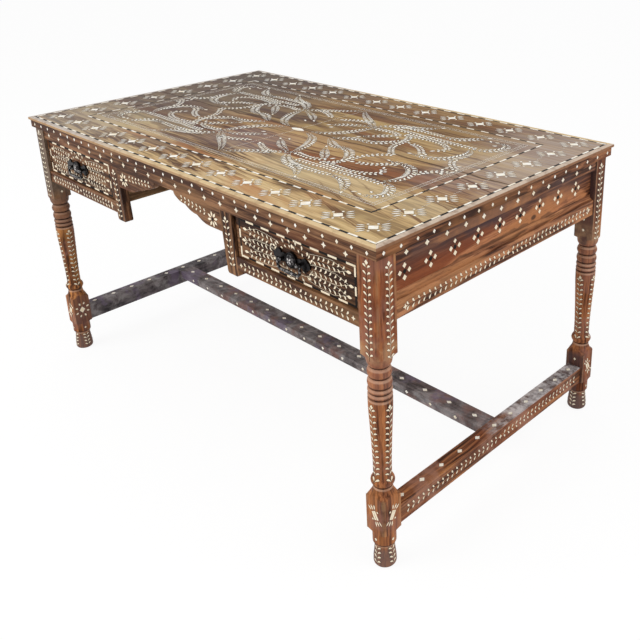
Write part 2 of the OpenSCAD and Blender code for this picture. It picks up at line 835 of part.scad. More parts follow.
// The boss has a raised rim round a dome. The levels are shares of its height.
rim_w = 3;
rim_land = 1;
rim_outer = 0.35;
rim_top = 0.6;
rim_foot = 0.3;

module handle_plate(s) {
  color(iron) handle_at(s) difference() {
    union() {
      linear_extrude(plate_t) {
        circle(r = boss_r, $fn = fine);
        plate_half();
        mirror([1, 0]) plate_half();
      }
      rotate_extrude($fn = fine) polygon(concat(
        [[0, 0], [boss_r, 0], [boss_r, plate_t + boss_h * rim_outer]],
        [[boss_r - rim_w / 2, plate_t + boss_h * rim_top], [boss_r - rim_w, plate_t + boss_h * rim_foot]],
        [for (i = [0 : arc_n]) [(boss_r - rim_w - rim_land) * cos(90 * i / arc_n),
                                plate_t + boss_h * (rim_foot + (1 - rim_foot) * sin(90 * i / arc_n))]]
      ));
    }
    for (h = [-1, 1]) translate([h * handle_post_x, pivot_drop, -cut])
      cylinder(r = bolt_r + fit, h = plate_t + 2 * cut, $fn = fine);
  }
}

post_collar_r = 3.8;
bolt_end = 1;
bolt_in = front_t + nut_t + bolt_end;

// Each post is a bolt through plate and drawer front, with a drilled knob before and a nut behind
module handle_posts(s) {
  color(iron) handle_at(s) for (h = [-1, 1]) translate([h * handle_post_x, pivot_drop, 0]) {
    difference() {
      union() {
        translate([0, 0, -bolt_in]) cylinder(r = bolt_r, h = bolt_in + plate_t + pivot_out, $fn = fine);
        translate([0, 0, plate_t]) cylinder(r = post_collar_r, h = pivot_out, $fn = fine);
        translate([0, 0, plate_t + pivot_out]) sphere(r = knob_r, $fn = fine);
      }
      translate([-knob_r - cut, 0, plate_t + pivot_out]) rotate([0, 90, 0])
        cylinder(r = bail_pin_r + pin_fit, h = 2 * (knob_r + cut), $fn = fine);
    }
    difference() {
      translate([0, 0, -front_t - nut_t]) cylinder(r = nut_r, h = nut_t, $fn = 6);
      translate([0, 0, -front_t - nut_t - cut]) cylinder(r = bolt_r + fit, h = nut_t + 2 * cut, $fn = fine);
    }
  }
}

// The bail hangs from pins that run through the knobs from outside, and swells at the grip
arm_x = handle_post_x + knob_r + pin_fit + bail_r;
pin_in = 2 * knob_r;
bend_r = bail_bend + bail_r;
grip_half_l = 18;
grip_swell = 1.2;
grip_sink = 0.2;

module rod(p, axis, l, r) {
  translate(p) rotate(axis) cylinder(r = r, h = l, $fn = fine);
}

module bail(s) {
  drop = bail_drop;
  color(iron) drawer_at(s) translate([handle_x(s), pivot_y, pivot_z]) {
    for (h = [-1, 1]) at_end(h) {
      rod([arm_x - bail_r - pin_fit - pin_in, 0, 0], [0, 90, 0], pin_in + bail_r + pin_fit, bail_pin_r);
      translate([arm_x, 0, 0]) sphere(r = bail_r, $fn = fine);
      rod([arm_x, 0, -drop + bend_r], [0, 0, 0], drop - bend_r, bail_r);
      translate([arm_x - bend_r, 0, -drop + bend_r]) rotate([-90, 0, 0])
        rotate_extrude(angle = 90, $fn = fine) translate([bend_r, 0]) circle(r = bail_r, $fn = fine);
    }
    rod([-arm_x + bend_r, 0, -drop], [0, 90, 0], 2 * (arm_x - bend_r), bail_r);
    translate([0, 0, -drop]) rotate([0, 90, 0]) rotate_extrude($fn = fine) polygon(concat(
      [[0, -grip_half_l]],
      [for (i = [0 : arc_n]) [bail_r - grip_sink + grip_swell * sin(180 * i / arc_n),
                              grip_half_l * (2 * i / arc_n - 1)]],
      [[0, grip_half_l]]
    ));
  }
}

top_board(0);  // top_board_1
top_board(1);  // top_board_2
top_board(2);  // top_board_3
top_board(3);  // top_board_4
top_edge_long(-1);  // top_edge_front
top_edge_long(1);  // top_edge_back
top_edge_end(-1);  // top_edge_left
top_edge_end(1);  // top_edge_right
leg(-1, -1);  // leg_front_left
leg(1, -1);  // leg_front_right
leg(-1, 1);  // leg_back_left
leg(1, 1);  // leg_back_right
front_top_rail();
drawer_rail(-1);  // drawer_rail_left
drawer_rail(1);  // drawer_rail_right
inner_post(-1);  // inner_post_left
inner_post(1);  // inner_post_right
bracket(-1);  // bracket_left
bracket(1);  // bracket_right
end_top_rail(-1);  // end_top_rail_left
end_top_rail(1);  // end_top_rail_right
end_panel(-1);  // end_panel_left
end_panel(1);  // end_panel_right
end_low_rail(-1);  // end_low_rail_left
end_low_rail(1);  // end_low_rail_right
back_top_rail();
back_panel();
back_low_rail();
end_stretcher(-1);  // end_stretcher_left
end_stretcher(1);  // end_stretcher_right
long_stretcher();
runner(-1, bay_x - runner_w, bay_x);  // runner_left_outer
runner(-1, inner_x(-1), inner_x(-1) + runner_w);  // runner_left_inner
runner(1, inner_x(1), inner_x(1) + runner_w);  // runner_right_inner
runner(1, bay_x - runner_w, bay_x);  // runner_right_outer
guides(-1);  // guides_left
guides(1);  // guides_right
drawer_stops();
kicker(-1);  // kicker_left
kicker(1);  // kicker_right
cleat(-1);  // cleat_left
cleat(1);  // cleat_right
top_screws();
drawer_front(-1);  // drawer_front_left
drawer_front(1);  // drawer_front_right
drawer_outer_side(-1);  // drawer_outer_side_left
drawer_outer_side(1);  // drawer_outer_side_right
drawer_inner_side(-1);  // drawer_inner_side_left
drawer_inner_side(1);  // drawer_inner_side_right
drawer_back(-1);  // drawer_back_left
drawer_back(1);  // drawer_back_right
drawer_bottom(-1);  // drawer_bottom_left
drawer_bottom(1);  // drawer_bottom_right
handle_plate(-1);  // handle_plate_left
handle_plate(1);  // handle_plate_right
handle_posts(-1);  // handle_posts_left
handle_posts(1);  // handle_posts_right
bail(-1);  // bail_left
bail(1);  // bail_right
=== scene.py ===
"""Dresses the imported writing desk: walnut in several tones, bone and black inlay, iron handles, a pale stage.

Sizes inside the pattern functions are millimetres in the desk's own frame, with the floor at height 0.
"""

import json
import math

import bpy
import numpy as np
from bpy.props import FloatProperty, FloatVectorProperty, PointerProperty
from mathutils import Matrix, Vector

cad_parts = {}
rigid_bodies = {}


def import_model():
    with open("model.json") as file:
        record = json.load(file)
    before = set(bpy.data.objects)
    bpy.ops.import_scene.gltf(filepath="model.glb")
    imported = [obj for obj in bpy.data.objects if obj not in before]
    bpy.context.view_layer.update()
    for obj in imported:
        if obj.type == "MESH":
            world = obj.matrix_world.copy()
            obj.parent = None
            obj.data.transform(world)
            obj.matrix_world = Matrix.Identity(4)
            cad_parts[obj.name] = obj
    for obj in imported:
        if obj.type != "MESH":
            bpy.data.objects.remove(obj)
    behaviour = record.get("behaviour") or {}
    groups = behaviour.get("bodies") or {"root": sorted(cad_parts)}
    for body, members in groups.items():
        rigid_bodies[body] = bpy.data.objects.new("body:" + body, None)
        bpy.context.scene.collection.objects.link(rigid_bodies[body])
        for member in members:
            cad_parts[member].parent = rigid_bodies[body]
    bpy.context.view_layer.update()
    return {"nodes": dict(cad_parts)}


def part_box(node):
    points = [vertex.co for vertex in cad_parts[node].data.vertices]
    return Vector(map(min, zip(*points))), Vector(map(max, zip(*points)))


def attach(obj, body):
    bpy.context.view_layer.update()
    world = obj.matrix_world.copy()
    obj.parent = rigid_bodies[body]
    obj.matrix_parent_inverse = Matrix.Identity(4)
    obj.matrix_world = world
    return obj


bl_info = {
    "name": "Inlaid writing desk",
    "version": (1, 0, 0),
    "blender": (4, 5, 0),
    "location": "3D View > Sidebar > Desk",
    "description": "Wood finishes, bone and black inlay, ironwork and a stage for the packed writing desk",
    "category": "Object",
}

for leftover in list(bpy.data.objects):
    bpy.data.objects.remove(leftover)
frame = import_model()
nodes = frame["nodes"]
chance = np.random.default_rng(41)

TOP = 768.0  # the top's upper face
LEG_X, LEG_Y = 683.0, 387.5  # the legs' middle lines
HALF_LEG = 26.0  # from a leg's middle line to the faces of its blocks
BLOCK = 139.0  # middle height of the legs' lower blocks
EDGE_ROW = 749.0  # height of the diamonds on the top's edge
HANDLE = 660.0  # the handles' height
# how far the inlaid faces lie from the desk's middle: to the ends, and to the front and the back
EDGE_X, RAIL_X, PANEL_X = 714.5, 706.0, 694.0
EDGE_Y, RAIL_Y, DRAWER_Y, PANEL_Y = 418.0, 410.5, 405.5, 398.5
# the left and the right edge of each drawer front, and the middle of its handle
DRAWERS = {"left": (-655.5, -285.5, -475.5), "right": (265.5, 655.5, 455.5)}
# signs of u and v for each mirror image of a pattern
ONCE = ((1, 1),)
QUARTERS = ((1, 1), (-1, 1), (1, -1), (-1, -1))
FLIP_U, FLIP_V = QUARTERS[:2], QUARTERS[::2]
TURN = 6.283  # one turn in radians
# how far a hand-set piece strays from its place: u and v in mm, its angle in degrees, its size as a share
STRAY = (0.22, 0.22, 1.8, 0.035)


def linear(code):
    """The linear colour of an sRGB hex code: c / 12.92 below 0.04, and above it ((c + 0.055) / 1.055) to the 2.4."""
    parts = np.array([int(code[i : i + 2], 16) for i in (1, 3, 5)]) / 255
    return tuple(np.where(parts < 0.04045, parts / 12.92, ((parts + 0.055) / 1.055) ** 2.4).tolist())


def tinted(colour, factors=(1, 1, 1)):
    """A colour with each channel multiplied, with its alpha."""
    return tuple(min(1.0, c * f) for c, f in zip(colour[:3], factors)) + (1.0,)


def shades(colours, *factors):
    """Dark, middle and pale, each tinted by its own factors, or all three by the one set given."""
    return [tinted(c, f) for c, f in zip(colours, (factors or ((1, 1, 1),)) * 3)]


# Shader wiring


def both(operation):
    """The two methods of a wire for one Math node: with the wire first, and reflected with the wire second."""
    return (lambda wire, other: wire.maths(operation, wire, other),
            lambda wire, other: wire.maths(operation, other, wire))


class Wire:
    """A socket of a material's nodes that takes part in Python sums."""

    __add__, __radd__ = both("ADD")
    __sub__, __rsub__ = both("SUBTRACT")
    __mul__, __rmul__ = both("MULTIPLY")
    __truediv__, __rtruediv__ = both("DIVIDE")
    __pow__, __rpow__ = both("POWER")

    def __init__(self, socket):
        self.socket = socket

    def node(self, kind, inputs, settings=None, out=0):
        """A new node of the same material: its settings first, then its sockets' values or wires."""
        tree = self.socket.id_data
        made = tree.nodes.new(kind)
        for key, value in (settings or {}).items():
            if key == "stops":
                ramp = made.color_ramp.elements
                while len(ramp) < len(value):
                    ramp.new(0.5)
                for stop, (spot, colour) in zip(ramp, value):
                    stop.position, stop.color = spot, colour
            else:
                setattr(made, key, value)
        for key, value in inputs.items():
            if isinstance(value, Wire):
                tree.links.new(value.socket, made.inputs[key])
            else:
                made.inputs[key].default_value = value
        return Wire(made.outputs[out])

    def maths(self, operation, a, b=0.0):
        return self.node("ShaderNodeMath", {0: a, 1: b}, {"operation": operation})

    def size(self):
        """The value without its sign."""
        return self.maths("ABSOLUTE", self)

    def wave(self):
        """The sine, moved to run from 0 to 1."""
        return self.maths("SINE", self) * 0.5 + 0.5

    def between(self, low, high):
        """0 below low, 1 above high and a smooth step between them, or the reverse when low is above high."""
        return self.node("ShaderNodeMapRange", {0: self, 1: low, 2: high}, {"interpolation_type": "SMOOTHSTEP"})

    def ramp(self, *stops):
        """The colour of a ramp at this value."""
        return self.node("ShaderNodeValToRGB", {0: self}, {"stops": stops})

    def tint(self, under, over, mode="MIX"):
        """The colour under, turned towards over by this value."""
        return self.node("ShaderNodeMix", {0: self, 6: under, 7: over}, {"data_type": "RGBA", "blend_type": mode}, 2)

    def parts(self):
        """The three numbers of a vector."""
        return [self.node("ShaderNodeSeparateXYZ", {0: self}, out=i) for i in range(3)]

    def joined(self, b, c):
        """The vector whose first number is this value."""
        return self.node("ShaderNodeCombineXYZ", {0: self, 1: b, 2: c})

    def noise(self, scale=1.0, detail=2.0, rough=0.5, warp=0.0):
        """Smooth noise at this place, about 0.5."""
        sockets = {"Vector": self, "Scale": scale, "Detail": detail, "Roughness": rough, "Distortion": warp}
        return self.node("ShaderNodeTexNoise", sockets)


def coated(colour, *coats):
    """A colour turned in steps towards others. A coat is the wire of its mask, its share and its colour."""
    for mask, share, over in coats:
        colour = (mask * share).tint(colour, over if isinstance(over, Wire) else tinted(over))
    return colour


def near(away, reach, core):
    """1 where a distance is below core times reach, falling to 0 at reach."""
    return (away / reach).size().between(1.0, core)


def blank(name):
    """A new material without nodes, and the wire of the object's own coordinates in it."""
    material = bpy.data.materials.new(name)
    material.use_nodes = True
    material.node_tree.nodes.clear()
    source = material.node_tree.nodes.new("ShaderNodeTexCoord")
    return material, Wire(source.outputs["Object"])


def ended(place, shader):
    """Joins a shader to the material's output."""
    tree = place.socket.id_data
    output = tree.nodes.new("ShaderNodeOutputMaterial")
    tree.links.new(shader.socket, output.inputs["Surface"])


def dress(place, colour, rough, height, depth=0.0002, **fixed):
    """Ends a material: a principled shader with what varies linked, and the fixed values on its own sockets."""
    bump = place.node("ShaderNodeBump", {"Strength": 0.6, "Distance": depth, "Height": height})
    sockets = {"Base Color": colour, "Roughness": rough, "Normal": bump}
    sockets.update({key.replace("_", " "): value for key, value in fixed.items()})
    ended(place, place.node("ShaderNodeBsdfPrincipled", sockets))


def grain(place, along, seed, lean, rings, flow, band):
    """Wires of one piece of wood: tone, streaks, fibre, pores and hue.

    The place is split into run, along the grain, and side and deep, across it. A slow noise drawn out along
    the run bends the lines side = constant, and the sine of the bent lines gives the rings. Streaks, fibre
    and pores are noises drawn out ever more along the run.
    """
    x, y, z = place.parts()
    run, side, deep = {"X": (x, y, z), "Y": (y, x, z), "Z": (z, x, y)}[along]
    if lean:
        c, s = math.cos(math.radians(lean)), math.sin(math.radians(lean))
        run, side = run * c + side * s, side * c - run * s
    run, side, deep = run + seed, side + seed * 0.37, deep + seed * 0.71

    def drawn(length, breadth, fine, *kind):
        return length.joined(breadth * fine, deep * fine).noise(1.0, *kind)

    slow = drawn(run * 1.7, side, 7.0, 4.0, 0.6, 0.4)
    lines = ((side + deep * 0.6) * (rings * TURN) + slow * (flow * TURN)).wave()
    fibre = drawn(run * 16.0, side, 380.0, 2.0, 0.6)
    pores = drawn(run * 60.0, side, 950.0, 1.0).between(0.6, 0.72)
    bent = side + (slow - 0.5) * 0.075
    streaks = drawn(run * 2.2 + 5.0, bent, 46.0, 4.0, 0.62, 0.2).between(0.56, 0.68)
    veins = drawn(run * 6.0, bent, 150.0, 2.0, 0.6)
    tone = (lines - 0.5) * band + (slow - 0.5) * 2.1 + (veins - 0.5) * 1.8 + (fibre - 0.5) * 0.6 + 0.5
    return tone, streaks, fibre, pores, drawn(run * 2.0 + 9.0, bent, 10.0, 3.0, 0.6, 0.6)


def walnut(name, dark, middle, pale, along="X", seed=0.0, lean=0.0, rings=34.0, flow=5.0, streak=0.55,
           rough=0.5, band=0.34, shine=0.1, mottle=0.55, extra=None):
    """Oiled walnut. The tone runs through a ramp of three colours, the hue turns it red or golden in long patches,
    streaks and pores darken it, and extra adds what one piece alone has. Fibre and pores give the bump."""
    place = blank(name)[1]
    tone, streaks, fibre, pores, hue = grain(place, along, seed, lean, rings, flow, band)
    colour = coated(tone.ramp((0.18, dark), (0.5, middle), (0.82, pale)),
                    (hue.between(0.52, 0.64), mottle, tinted(middle, (0.9, 0.6, 0.45))),
                    (hue.between(0.46, 0.36), mottle, tinted(pale, (0.97, 0.98, 0.86))),
                    (streaks, streak, tinted(dark, (0.75, 0.7, 0.7))),
                    (pores, 0.4, tinted(dark, (0.5, 0.45, 0.45))))
    dull = fibre * 0.16 + (rough - 0.08)
    relief = fibre - pores * 0.6
    if extra:
        colour, dull, *more = extra(place, colour, dull)
        relief = sum(more, relief)
    dress(place, colour, dull, relief, Specular_IOR_Level=shine)


# Faces of the desk, on which patterns are laid out


class Side:
    """A flat face. The point u along it, v across it and h above it is start + u * along + v * across + h * out."""

    rise = 0.18

    def __init__(self, start, along, across=(0, 0, 1)):
        self.start, self.along, self.across = (np.array(a, float) for a in (start, along, across))
        self.out = np.cross(self.along, self.across)

    def place(self, u, v, h):
        u, v = np.asarray(u, float)[..., None], np.asarray(v, float)[..., None]
        return (self.start + u * self.along + v * self.across + h * self.out) * 0.001


class Turned:
    """The round part of a leg, unrolled about one of its four sides. With r the leg's radius at height v, the
    point u, v, h lies at the angle of that side + u / r, at the distance r + h from the leg's middle line."""

    rise = 0.34

    def __init__(self, leg, middle, quarter):
        co = vertices(leg)
        levels = np.round(co[:, 2], 1)
        self.heights = np.unique(levels)
        away = np.hypot(co[:, 0] - middle[0], co[:, 1] - middle[1])
        self.radii = np.array([away[levels == level].max() for level in self.heights])
        self.middle, self.turn = middle, math.radians(90.0 * quarter)

    def place(self, u, v, h):
        r = np.interp(v, self.heights, self.radii)
        angle = self.turn + u / r
        r = r + h
        x, y = self.middle[0] + r * np.cos(angle), self.middle[1] + r * np.sin(angle)
        return np.stack([x, y, v + 0 * r], -1) * 0.001


class Boss:
    """The dome of a handle plate. The point u, v, h lies in front of the plate's own surface by h, whose
    depth is read at the distance from the dome's middle."""

    rise = 0.25

    def __init__(self, plate, middle):
        co = vertices(plate)
        away = np.hypot(co[:, 0] - middle[0], co[:, 2] - middle[1])
        rings = np.arange(0.0, 15.0, 1.0)
        near_ring = [co[np.abs(away - ring) < 1.2, 1] for ring in rings]
        self.rings = rings[[len(n) > 0 for n in near_ring]]
        self.depths = np.array([n.min() for n in near_ring if len(n)])
        self.middle = middle

    def place(self, u, v, h):
        front_y = np.interp(np.hypot(u, v), self.rings, self.depths) - h
        return np.stack([self.middle[0] + u, front_y, self.middle[1] + v], -1) * 0.001


def vertices(node):
    """A CAD node's vertices as an array, in mm."""
    mesh = nodes[node].data
    co = np.empty(len(mesh.vertices) * 3)
    mesh.vertices.foreach_get("co", co)
    return co.reshape(-1, 3) * 1000.0


def front(y):
    return Side((0, y, 0), (1, 0, 0))


def back(y):
    return Side((0, y, 0), (-1, 0, 0))


def end(x):
    """An end face: u runs to the back on the right end and to the front on the left one."""
    return Side((x, 0, 0), (0, 1 if x > 0 else -1, 0))


def level(z):
    return Side((0, 0, z), (1, 0, 0), (0, 1, 0))


# Shapes of the inlaid pieces: outlines that run to the left round the shape, in mm


def leaf(length, width, curl, fat=1.6):
    """A comma: its middle line is an arc that starts along u and turns by curl degrees over its length, from its
    thin tail at the origin. Half its width, width / 2 * sin(pi * t ** fat), is laid off square to that line."""
    t = np.linspace(0, 1, 7)[:, None]
    turn = math.radians(max(curl, 0.01))
    line = length / turn * np.hstack([np.sin(turn * t), 1 - np.cos(turn * t)])
    half = width / 2 * np.sin(np.pi * t**fat) * np.hstack([-np.sin(turn * t), np.cos(turn * t)])
    return np.vstack([line[:1], (line - half)[1:-1], line[-1:], (line + half)[-2:0:-1]])


def almond(length, width):
    """Two equal arcs: half the width is width / 2 * sin(pi * t), from the origin to length."""
    t = np.linspace(0, 1, 6)
    half = width / 2 * np.sin(np.pi * t)
    return np.vstack([np.c_[t * length, -half], np.c_[t * length, half][-2:0:-1]])


def star(points, reach, waist):
    """A star whose corners lie alternately at reach and at waist from its middle."""
    angle = np.arange(2 * points) * np.pi / points
    r = np.where(np.arange(2 * points) % 2, waist, reach)
    return np.c_[r * np.cos(angle), r * np.sin(angle)]


def diamond(wide, tall):
    return np.array([(wide / 2, 0), (0, tall / 2), (-wide / 2, 0), (0, -tall / 2)])


def bar(length, width):
    return np.array([(-length, -width), (length, -width), (length, width), (-length, width)]) / 2


def dot(r):
    return star(4, r, r)


def turned_over(ring):
    """Outlines run the other way round, still from their first corner."""
    return np.roll(ring[..., ::-1, :], 1, axis=-2)


def rayed(u, v, count, wide, tall, start):
    """Places of rays round a point, on an ellipse of half width wide and half height tall: the point, the ray's
    own angle in degrees and its size, with the first ray at start in radians."""
    a = np.arange(count) * 2 * math.pi / count + start
    return np.c_[u + wide * np.cos(a), v + tall * np.sin(a), np.degrees(a), np.ones(count)]


def lengths(path):
    """The length along a path at each of its points."""
    return np.r_[0, np.cumsum(np.hypot(*np.diff(path, axis=0).T))]


def leftward(path):
    """Unit vectors to the left of a path: its gradient (a, b) turned to (-b, a) and divided by its length."""
    ahead = np.gradient(path, axis=0)
    return np.stack([-ahead[:, 1], ahead[:, 0]], -1) / np.hypot(*ahead.T)[:, None]


def smooth(points, step=2.0):
    """A curve through given points. Between two of them it is the cubic whose slope at each is half the way
    from the point before it to the point after it. The result is cut into even steps."""
    p = np.asarray(points, float)
    p = np.vstack([2 * p[0] - p[1], p, 2 * p[-1] - p[-2]])
    t = np.linspace(0, 1, 24, endpoint=False)[:, None]
    a, b, c, d = (p[i : len(p) - 3 + i, None, :] for i in range(4))
    q = 0.5 * (2 * b + (c - a) * t + (2 * a - 5 * b + 4 * c - d) * t**2 + (3 * b - a - 3 * c + d) * t**3)
    q = np.vstack([q.reshape(-1, 2), p[-2]])
    run = lengths(q)
    at = np.linspace(0, run[-1], max(2, int(round(run[-1] / step)) + 1))
    return np.c_[np.interp(at, run, q[:, 0]), np.interp(at, run, q[:, 1])]


def walk(path, at):
    """Points at given lengths along a path, and the path's angles there in degrees."""
    run, at = lengths(path), np.asarray(at, float)

    def spot(s):
        return np.c_[np.interp(s, run, path[:, 0]), np.interp(s, run, path[:, 1])]

    ahead = spot(np.minimum(at + 1, run[-1])) - spot(np.maximum(at - 1, 0))
    return spot(at), np.degrees(np.arctan2(ahead[:, 1], ahead[:, 0]))


def placed(name, data):
    """A new object of the scene."""
    made = bpy.data.objects.new(name, data)
    bpy.context.scene.collection.objects.link(made)
    return made


class Inlay:
    """Collects small inlaid pieces of one material on one body, and makes them one mesh."""

    def __init__(self, name, finish="aged bone", body="desk_frame"):
        self.name, self.finish, self.body = name, finish, body
        self.corners, self.faces, self.tones, self.count = [], [], [], 0

    def stamp(self, outline, places, side, mirror=ONCE, lay=None, deep=0.06, jitter=1.0, seam=0.65):
        """A closed prism for each place (u, v, angle in degrees, size): the outline turned, scaled and moved
        there, its top at lay above the face and its foot, wider by the seam of dark mastic, deep under it."""
        lay = side.rise if lay is None else lay
        places = np.atleast_2d(np.asarray(places, float))
        if places.shape[1] < 4:
            places = np.c_[places, np.zeros((len(places), 3 - places.shape[1])), np.ones(len(places))]
        shake = chance.normal(0, jitter, (len(places), 4)) * STRAY
        u, v, a, size = (places + shake).T[:, :, None]
        a = np.radians(a)
        x, y = outline[:, 0] * size, outline[:, 1] * size
        drawn = np.stack([u + x * np.cos(a) - y * np.sin(a), v + x * np.sin(a) + y * np.cos(a)], -1)
        for su, sv in mirror:
            ring = drawn * (su, sv)
            self._prism(turned_over(ring) if su * sv < 0 else ring, side, lay, deep, seam)

    def _prism(self, ring, side, lay, deep, seam):
        n, k = ring.shape[:2]
        edge = np.roll(ring, -1, 1) - np.roll(ring, 1, 1)
        out = np.stack([edge[..., 1], -edge[..., 0]], -1) / np.maximum(np.hypot(*edge.T).T[..., None], 1e-6)
        foot = ring + out * seam
        top = side.place(ring[..., 0], ring[..., 1], lay)
        low = side.place(foot[..., 0], foot[..., 1], -deep)
        self.corners.append(np.concatenate([top, low], 1).reshape(-1, 3))
        base = self.count + np.arange(n)[:, None] * 2 * k
        j = np.arange(k)
        nxt = (j + 1) % k
        # the top is cut into strips across the outline, so that it follows a round face
        i = np.arange(1, k // 2 - 1)
        ends = np.array([(0, 1, k - 1), (k // 2 - 1, k // 2, k // 2 + 1)])
        strips = np.stack([i, i + 1, k - i - 1, k - i], -1)
        walls = np.stack([j + k, nxt + k, nxt, j], -1)
        for faces in (ends, strips, k + j[None, ::-1], walls):
            self.faces += (base[..., None] + faces).reshape(-1, faces.shape[1]).tolist()
        self.tones += [0] * n * (k // 2) + [1] * (n + n * k)
        self.count += 2 * n * k

    def strip(self, path, width, side, mirror=ONCE, lay=0.15, deep=0.06):
        """A flat band of square section carried along a path, closed at both ends."""
        half = width / 2
        foot = half + 0.4  # wider than the band by its seam of dark mastic
        for flip in mirror:
            p = np.asarray(path, float) * flip
            rows = [(foot, -deep), (half, lay), (-half, lay), (-foot, -deep)]
            rings = np.stack([side.place(*(p + leftward(p) * w).T, h) for w, h in rows], 1)
            n = len(p)
            self.corners.append(rings.reshape(-1, 3))
            i, j = np.meshgrid(np.arange(n - 1) * 4, np.arange(4), indexing="ij")
            nxt = (j + 1) % 4
            walls = np.stack([i + j, i + nxt, i + 4 + nxt, i + 4 + j], -1).reshape(-1, 4)
            caps = np.array([(3, 2, 1, 0), np.arange(4) + 4 * n - 4])
            self.faces += (np.vstack([walls, caps]) + self.count).tolist()
            self.tones += [1, 0, 1, 1] * (n - 1) + [1, 1]
            self.count += 4 * n

    def pairs(self, side, path, at, shape, off, spread, mirror=ONCE, size=1.0, seam=0.8):
        """Two leaves at each given length of a stem, their tails off to both sides of it, turned outwards by
        spread. Gives back the stem's angles there."""
        spots, angles = walk(path, at)
        size = np.broadcast_to(size, angles.shape)
        for hand in (1, -1):
            a = np.radians(angles + 90 * hand)
            places = np.c_[spots[:, 0] + off * np.cos(a), spots[:, 1] + off * np.sin(a), angles + spread * hand, size]
            self.stamp(shape if hand > 0 else turned_over(shape * (1, -1)), places, side, mirror, seam=seam)
        return angles

    def make(self):
        mesh = bpy.data.meshes.new(self.name)
        mesh.from_pydata(np.vstack(self.corners).tolist(), [], self.faces)
        for finish in (self.finish, "black inlay"):
            mesh.materials.append(bpy.data.materials[finish])
        mesh.polygons.foreach_set("material_index", self.tones)
        made = placed(self.name, mesh)
        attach(made, self.body)


def inks(name, body="desk_frame"):
    """The bone and the black inlay of one group."""
    return Inlay(name + "_bone", body=body), Inlay(name + "_black", "black inlay", body)


def dashes(bone, black, side, a, b, count, width, mirror=ONCE, bone_first=True, share=0.52):
    """A straight line from a to b cut into count equal periods, each a bone bar and a black one."""
    a, b = np.array(a, float), np.array(b, float)
    period = np.hypot(*(b - a)) / count
    turn = np.full(count, math.degrees(math.atan2(*(b - a)[::-1])))
    for ink, part, middle in ((bone, share, share / 2), (black, 1 - share, (1 + share) / 2)):
        at = np.arange(count)[:, None] + (middle if bone_first else 1 - middle)
        ink.stamp(bar(part * period - 0.4, width), np.c_[a + (b - a) * at / count, turn], side, mirror, jitter=0.25,
                  seam=0.3)


def column(ink, side, foot, tip, gap=14.7, shape=(12.0, 4.5, 66, 1.7), off=1.4, spread=20.0, crown=9.0):
    """A straight stem of leaf pairs that grows from foot to tip, with a diamond at its tip."""
    path = np.linspace(foot, tip, 9)
    at = np.arange(lengths(path)[-1] - 12.0, 0.0, -gap)
    angles = ink.pairs(side, path, at, leaf(*shape), off, spread)
    ink.stamp(diamond(crown * 1.25, crown), [(*tip, angles[0])], side)


def leaf_band(ink, side, low, middle, high, v, gap, points, stars=None):
    """Stars on a rail at height v, and leaf pairs that grow along it from the middle to both sides."""
    ink.stamp(star(4, *points), [(u, v) for u in stars or (low, middle, high)], side)
    for tip in (high, low):
        at = np.arange(gap * 0.75, abs(tip - middle) - gap * 0.35, gap)
        ink.pairs(side, np.linspace((middle, v), (tip, v), 9), at, leaf(12.0, 4.6, 62, 1.7), 1.2, 22.0)


# Settings that a user may change


def colour_setting(name, description, code):
    return FloatVectorProperty(name=name, description=description, subtype="COLOR", default=linear(code))


def number_setting(name, description, default, low, high, **kind):
    return FloatProperty(name=name, description=description, default=default, min=low, max=high, **kind)


class DeskWood(bpy.types.PropertyGroup):
    """Colours of the woods."""

    top_pale: colour_setting("Top, pale", "Palest tone of the top boards", "#cfaf7d")
    top_middle: colour_setting("Top, middle", "Main tone of the top boards", "#a58355")
    top_dark: colour_setting("Top, dark", "Dark figure of the top boards", "#54341c")
    case_pale: colour_setting("Case, pale", "Palest tone of rails and fronts", "#99704f")
    case_middle: colour_setting("Case, middle", "Main tone of rails and fronts", "#6e4c35")
    case_dark: colour_setting("Case, dark", "Dark figure of rails and fronts", "#331f15")
    leg_pale: colour_setting("Legs, pale", "Palest tone of the legs", "#b3764a")
    leg_middle: colour_setting("Legs, middle", "Main tone of the legs", "#845236")
    leg_dark: colour_setting("Legs, dark", "Dark figure of the legs", "#402416")
    bar_middle: colour_setting("Dark stretchers", "Main tone of the left and long stretchers", "#4b4040")
    # lip: also the ground of the painted grey reflection on the flat face of the top's edge strips
    lip: colour_setting("Worn lip", "Rubbed wood on the lip of the top", "#e6c49c")


class DeskInlay(bpy.types.PropertyGroup):
    """Sizes and colours of the inlay."""

    leaf_length: number_setting("Leaf length", "Length of a leaf on the top", 0.0118, 0.004, 0.018, unit="LENGTH")
    leaf_width: number_setting("Leaf width", "Width of a leaf on the top", 0.0064, 0.001, 0.008, unit="LENGTH")
    leaf_gap: number_setting("Leaf spacing", "Step between leaf pairs on the top", 0.0118, 0.008, 0.03, unit="LENGTH")
    bone: colour_setting("Bone", "Colour of the bone", "#fffcf4")
    black: colour_setting("Black", "Colour of the black inlay", "#0f0b09")


class DeskIron(bpy.types.PropertyGroup):
    """Look of the iron handles."""

    iron: colour_setting("Iron", "Colour of the blackened iron", "#151314")
    # worn: also the painted highlight where the iron stands out, and, brightened, the painted glint of the handles'
    # stars
    worn: colour_setting("Worn iron", "Colour where the iron is rubbed", "#b4b0ae")
    roughness: number_setting("Roughness", "Roughness of the iron", 0.32, 0.1, 0.9, subtype="FACTOR")


class DeskStage(bpy.types.PropertyGroup):
    """Light and floor."""

    key: number_setting("Key light", "Power of the large lamp in front", 75.0, 0.0, 1000.0, unit="POWER")
    fill: number_setting("Fill light", "Power of the lamp at the right", 28.0, 0.0, 1000.0, unit="POWER")
    sky: number_setting("Surroundings", "Strength of the even light from all round", 0.62, 0.0, 2.0, subtype="FACTOR")
    floor: FloatVectorProperty(name="Floor", description="Colour of the floor", subtype="COLOR",
                               default=(0.93, 0.93, 0.93))
    lens: number_setting("Lens", "Focal length of the photograph's view in mm", 46.039, 20.0, 120.0)


# Finishes


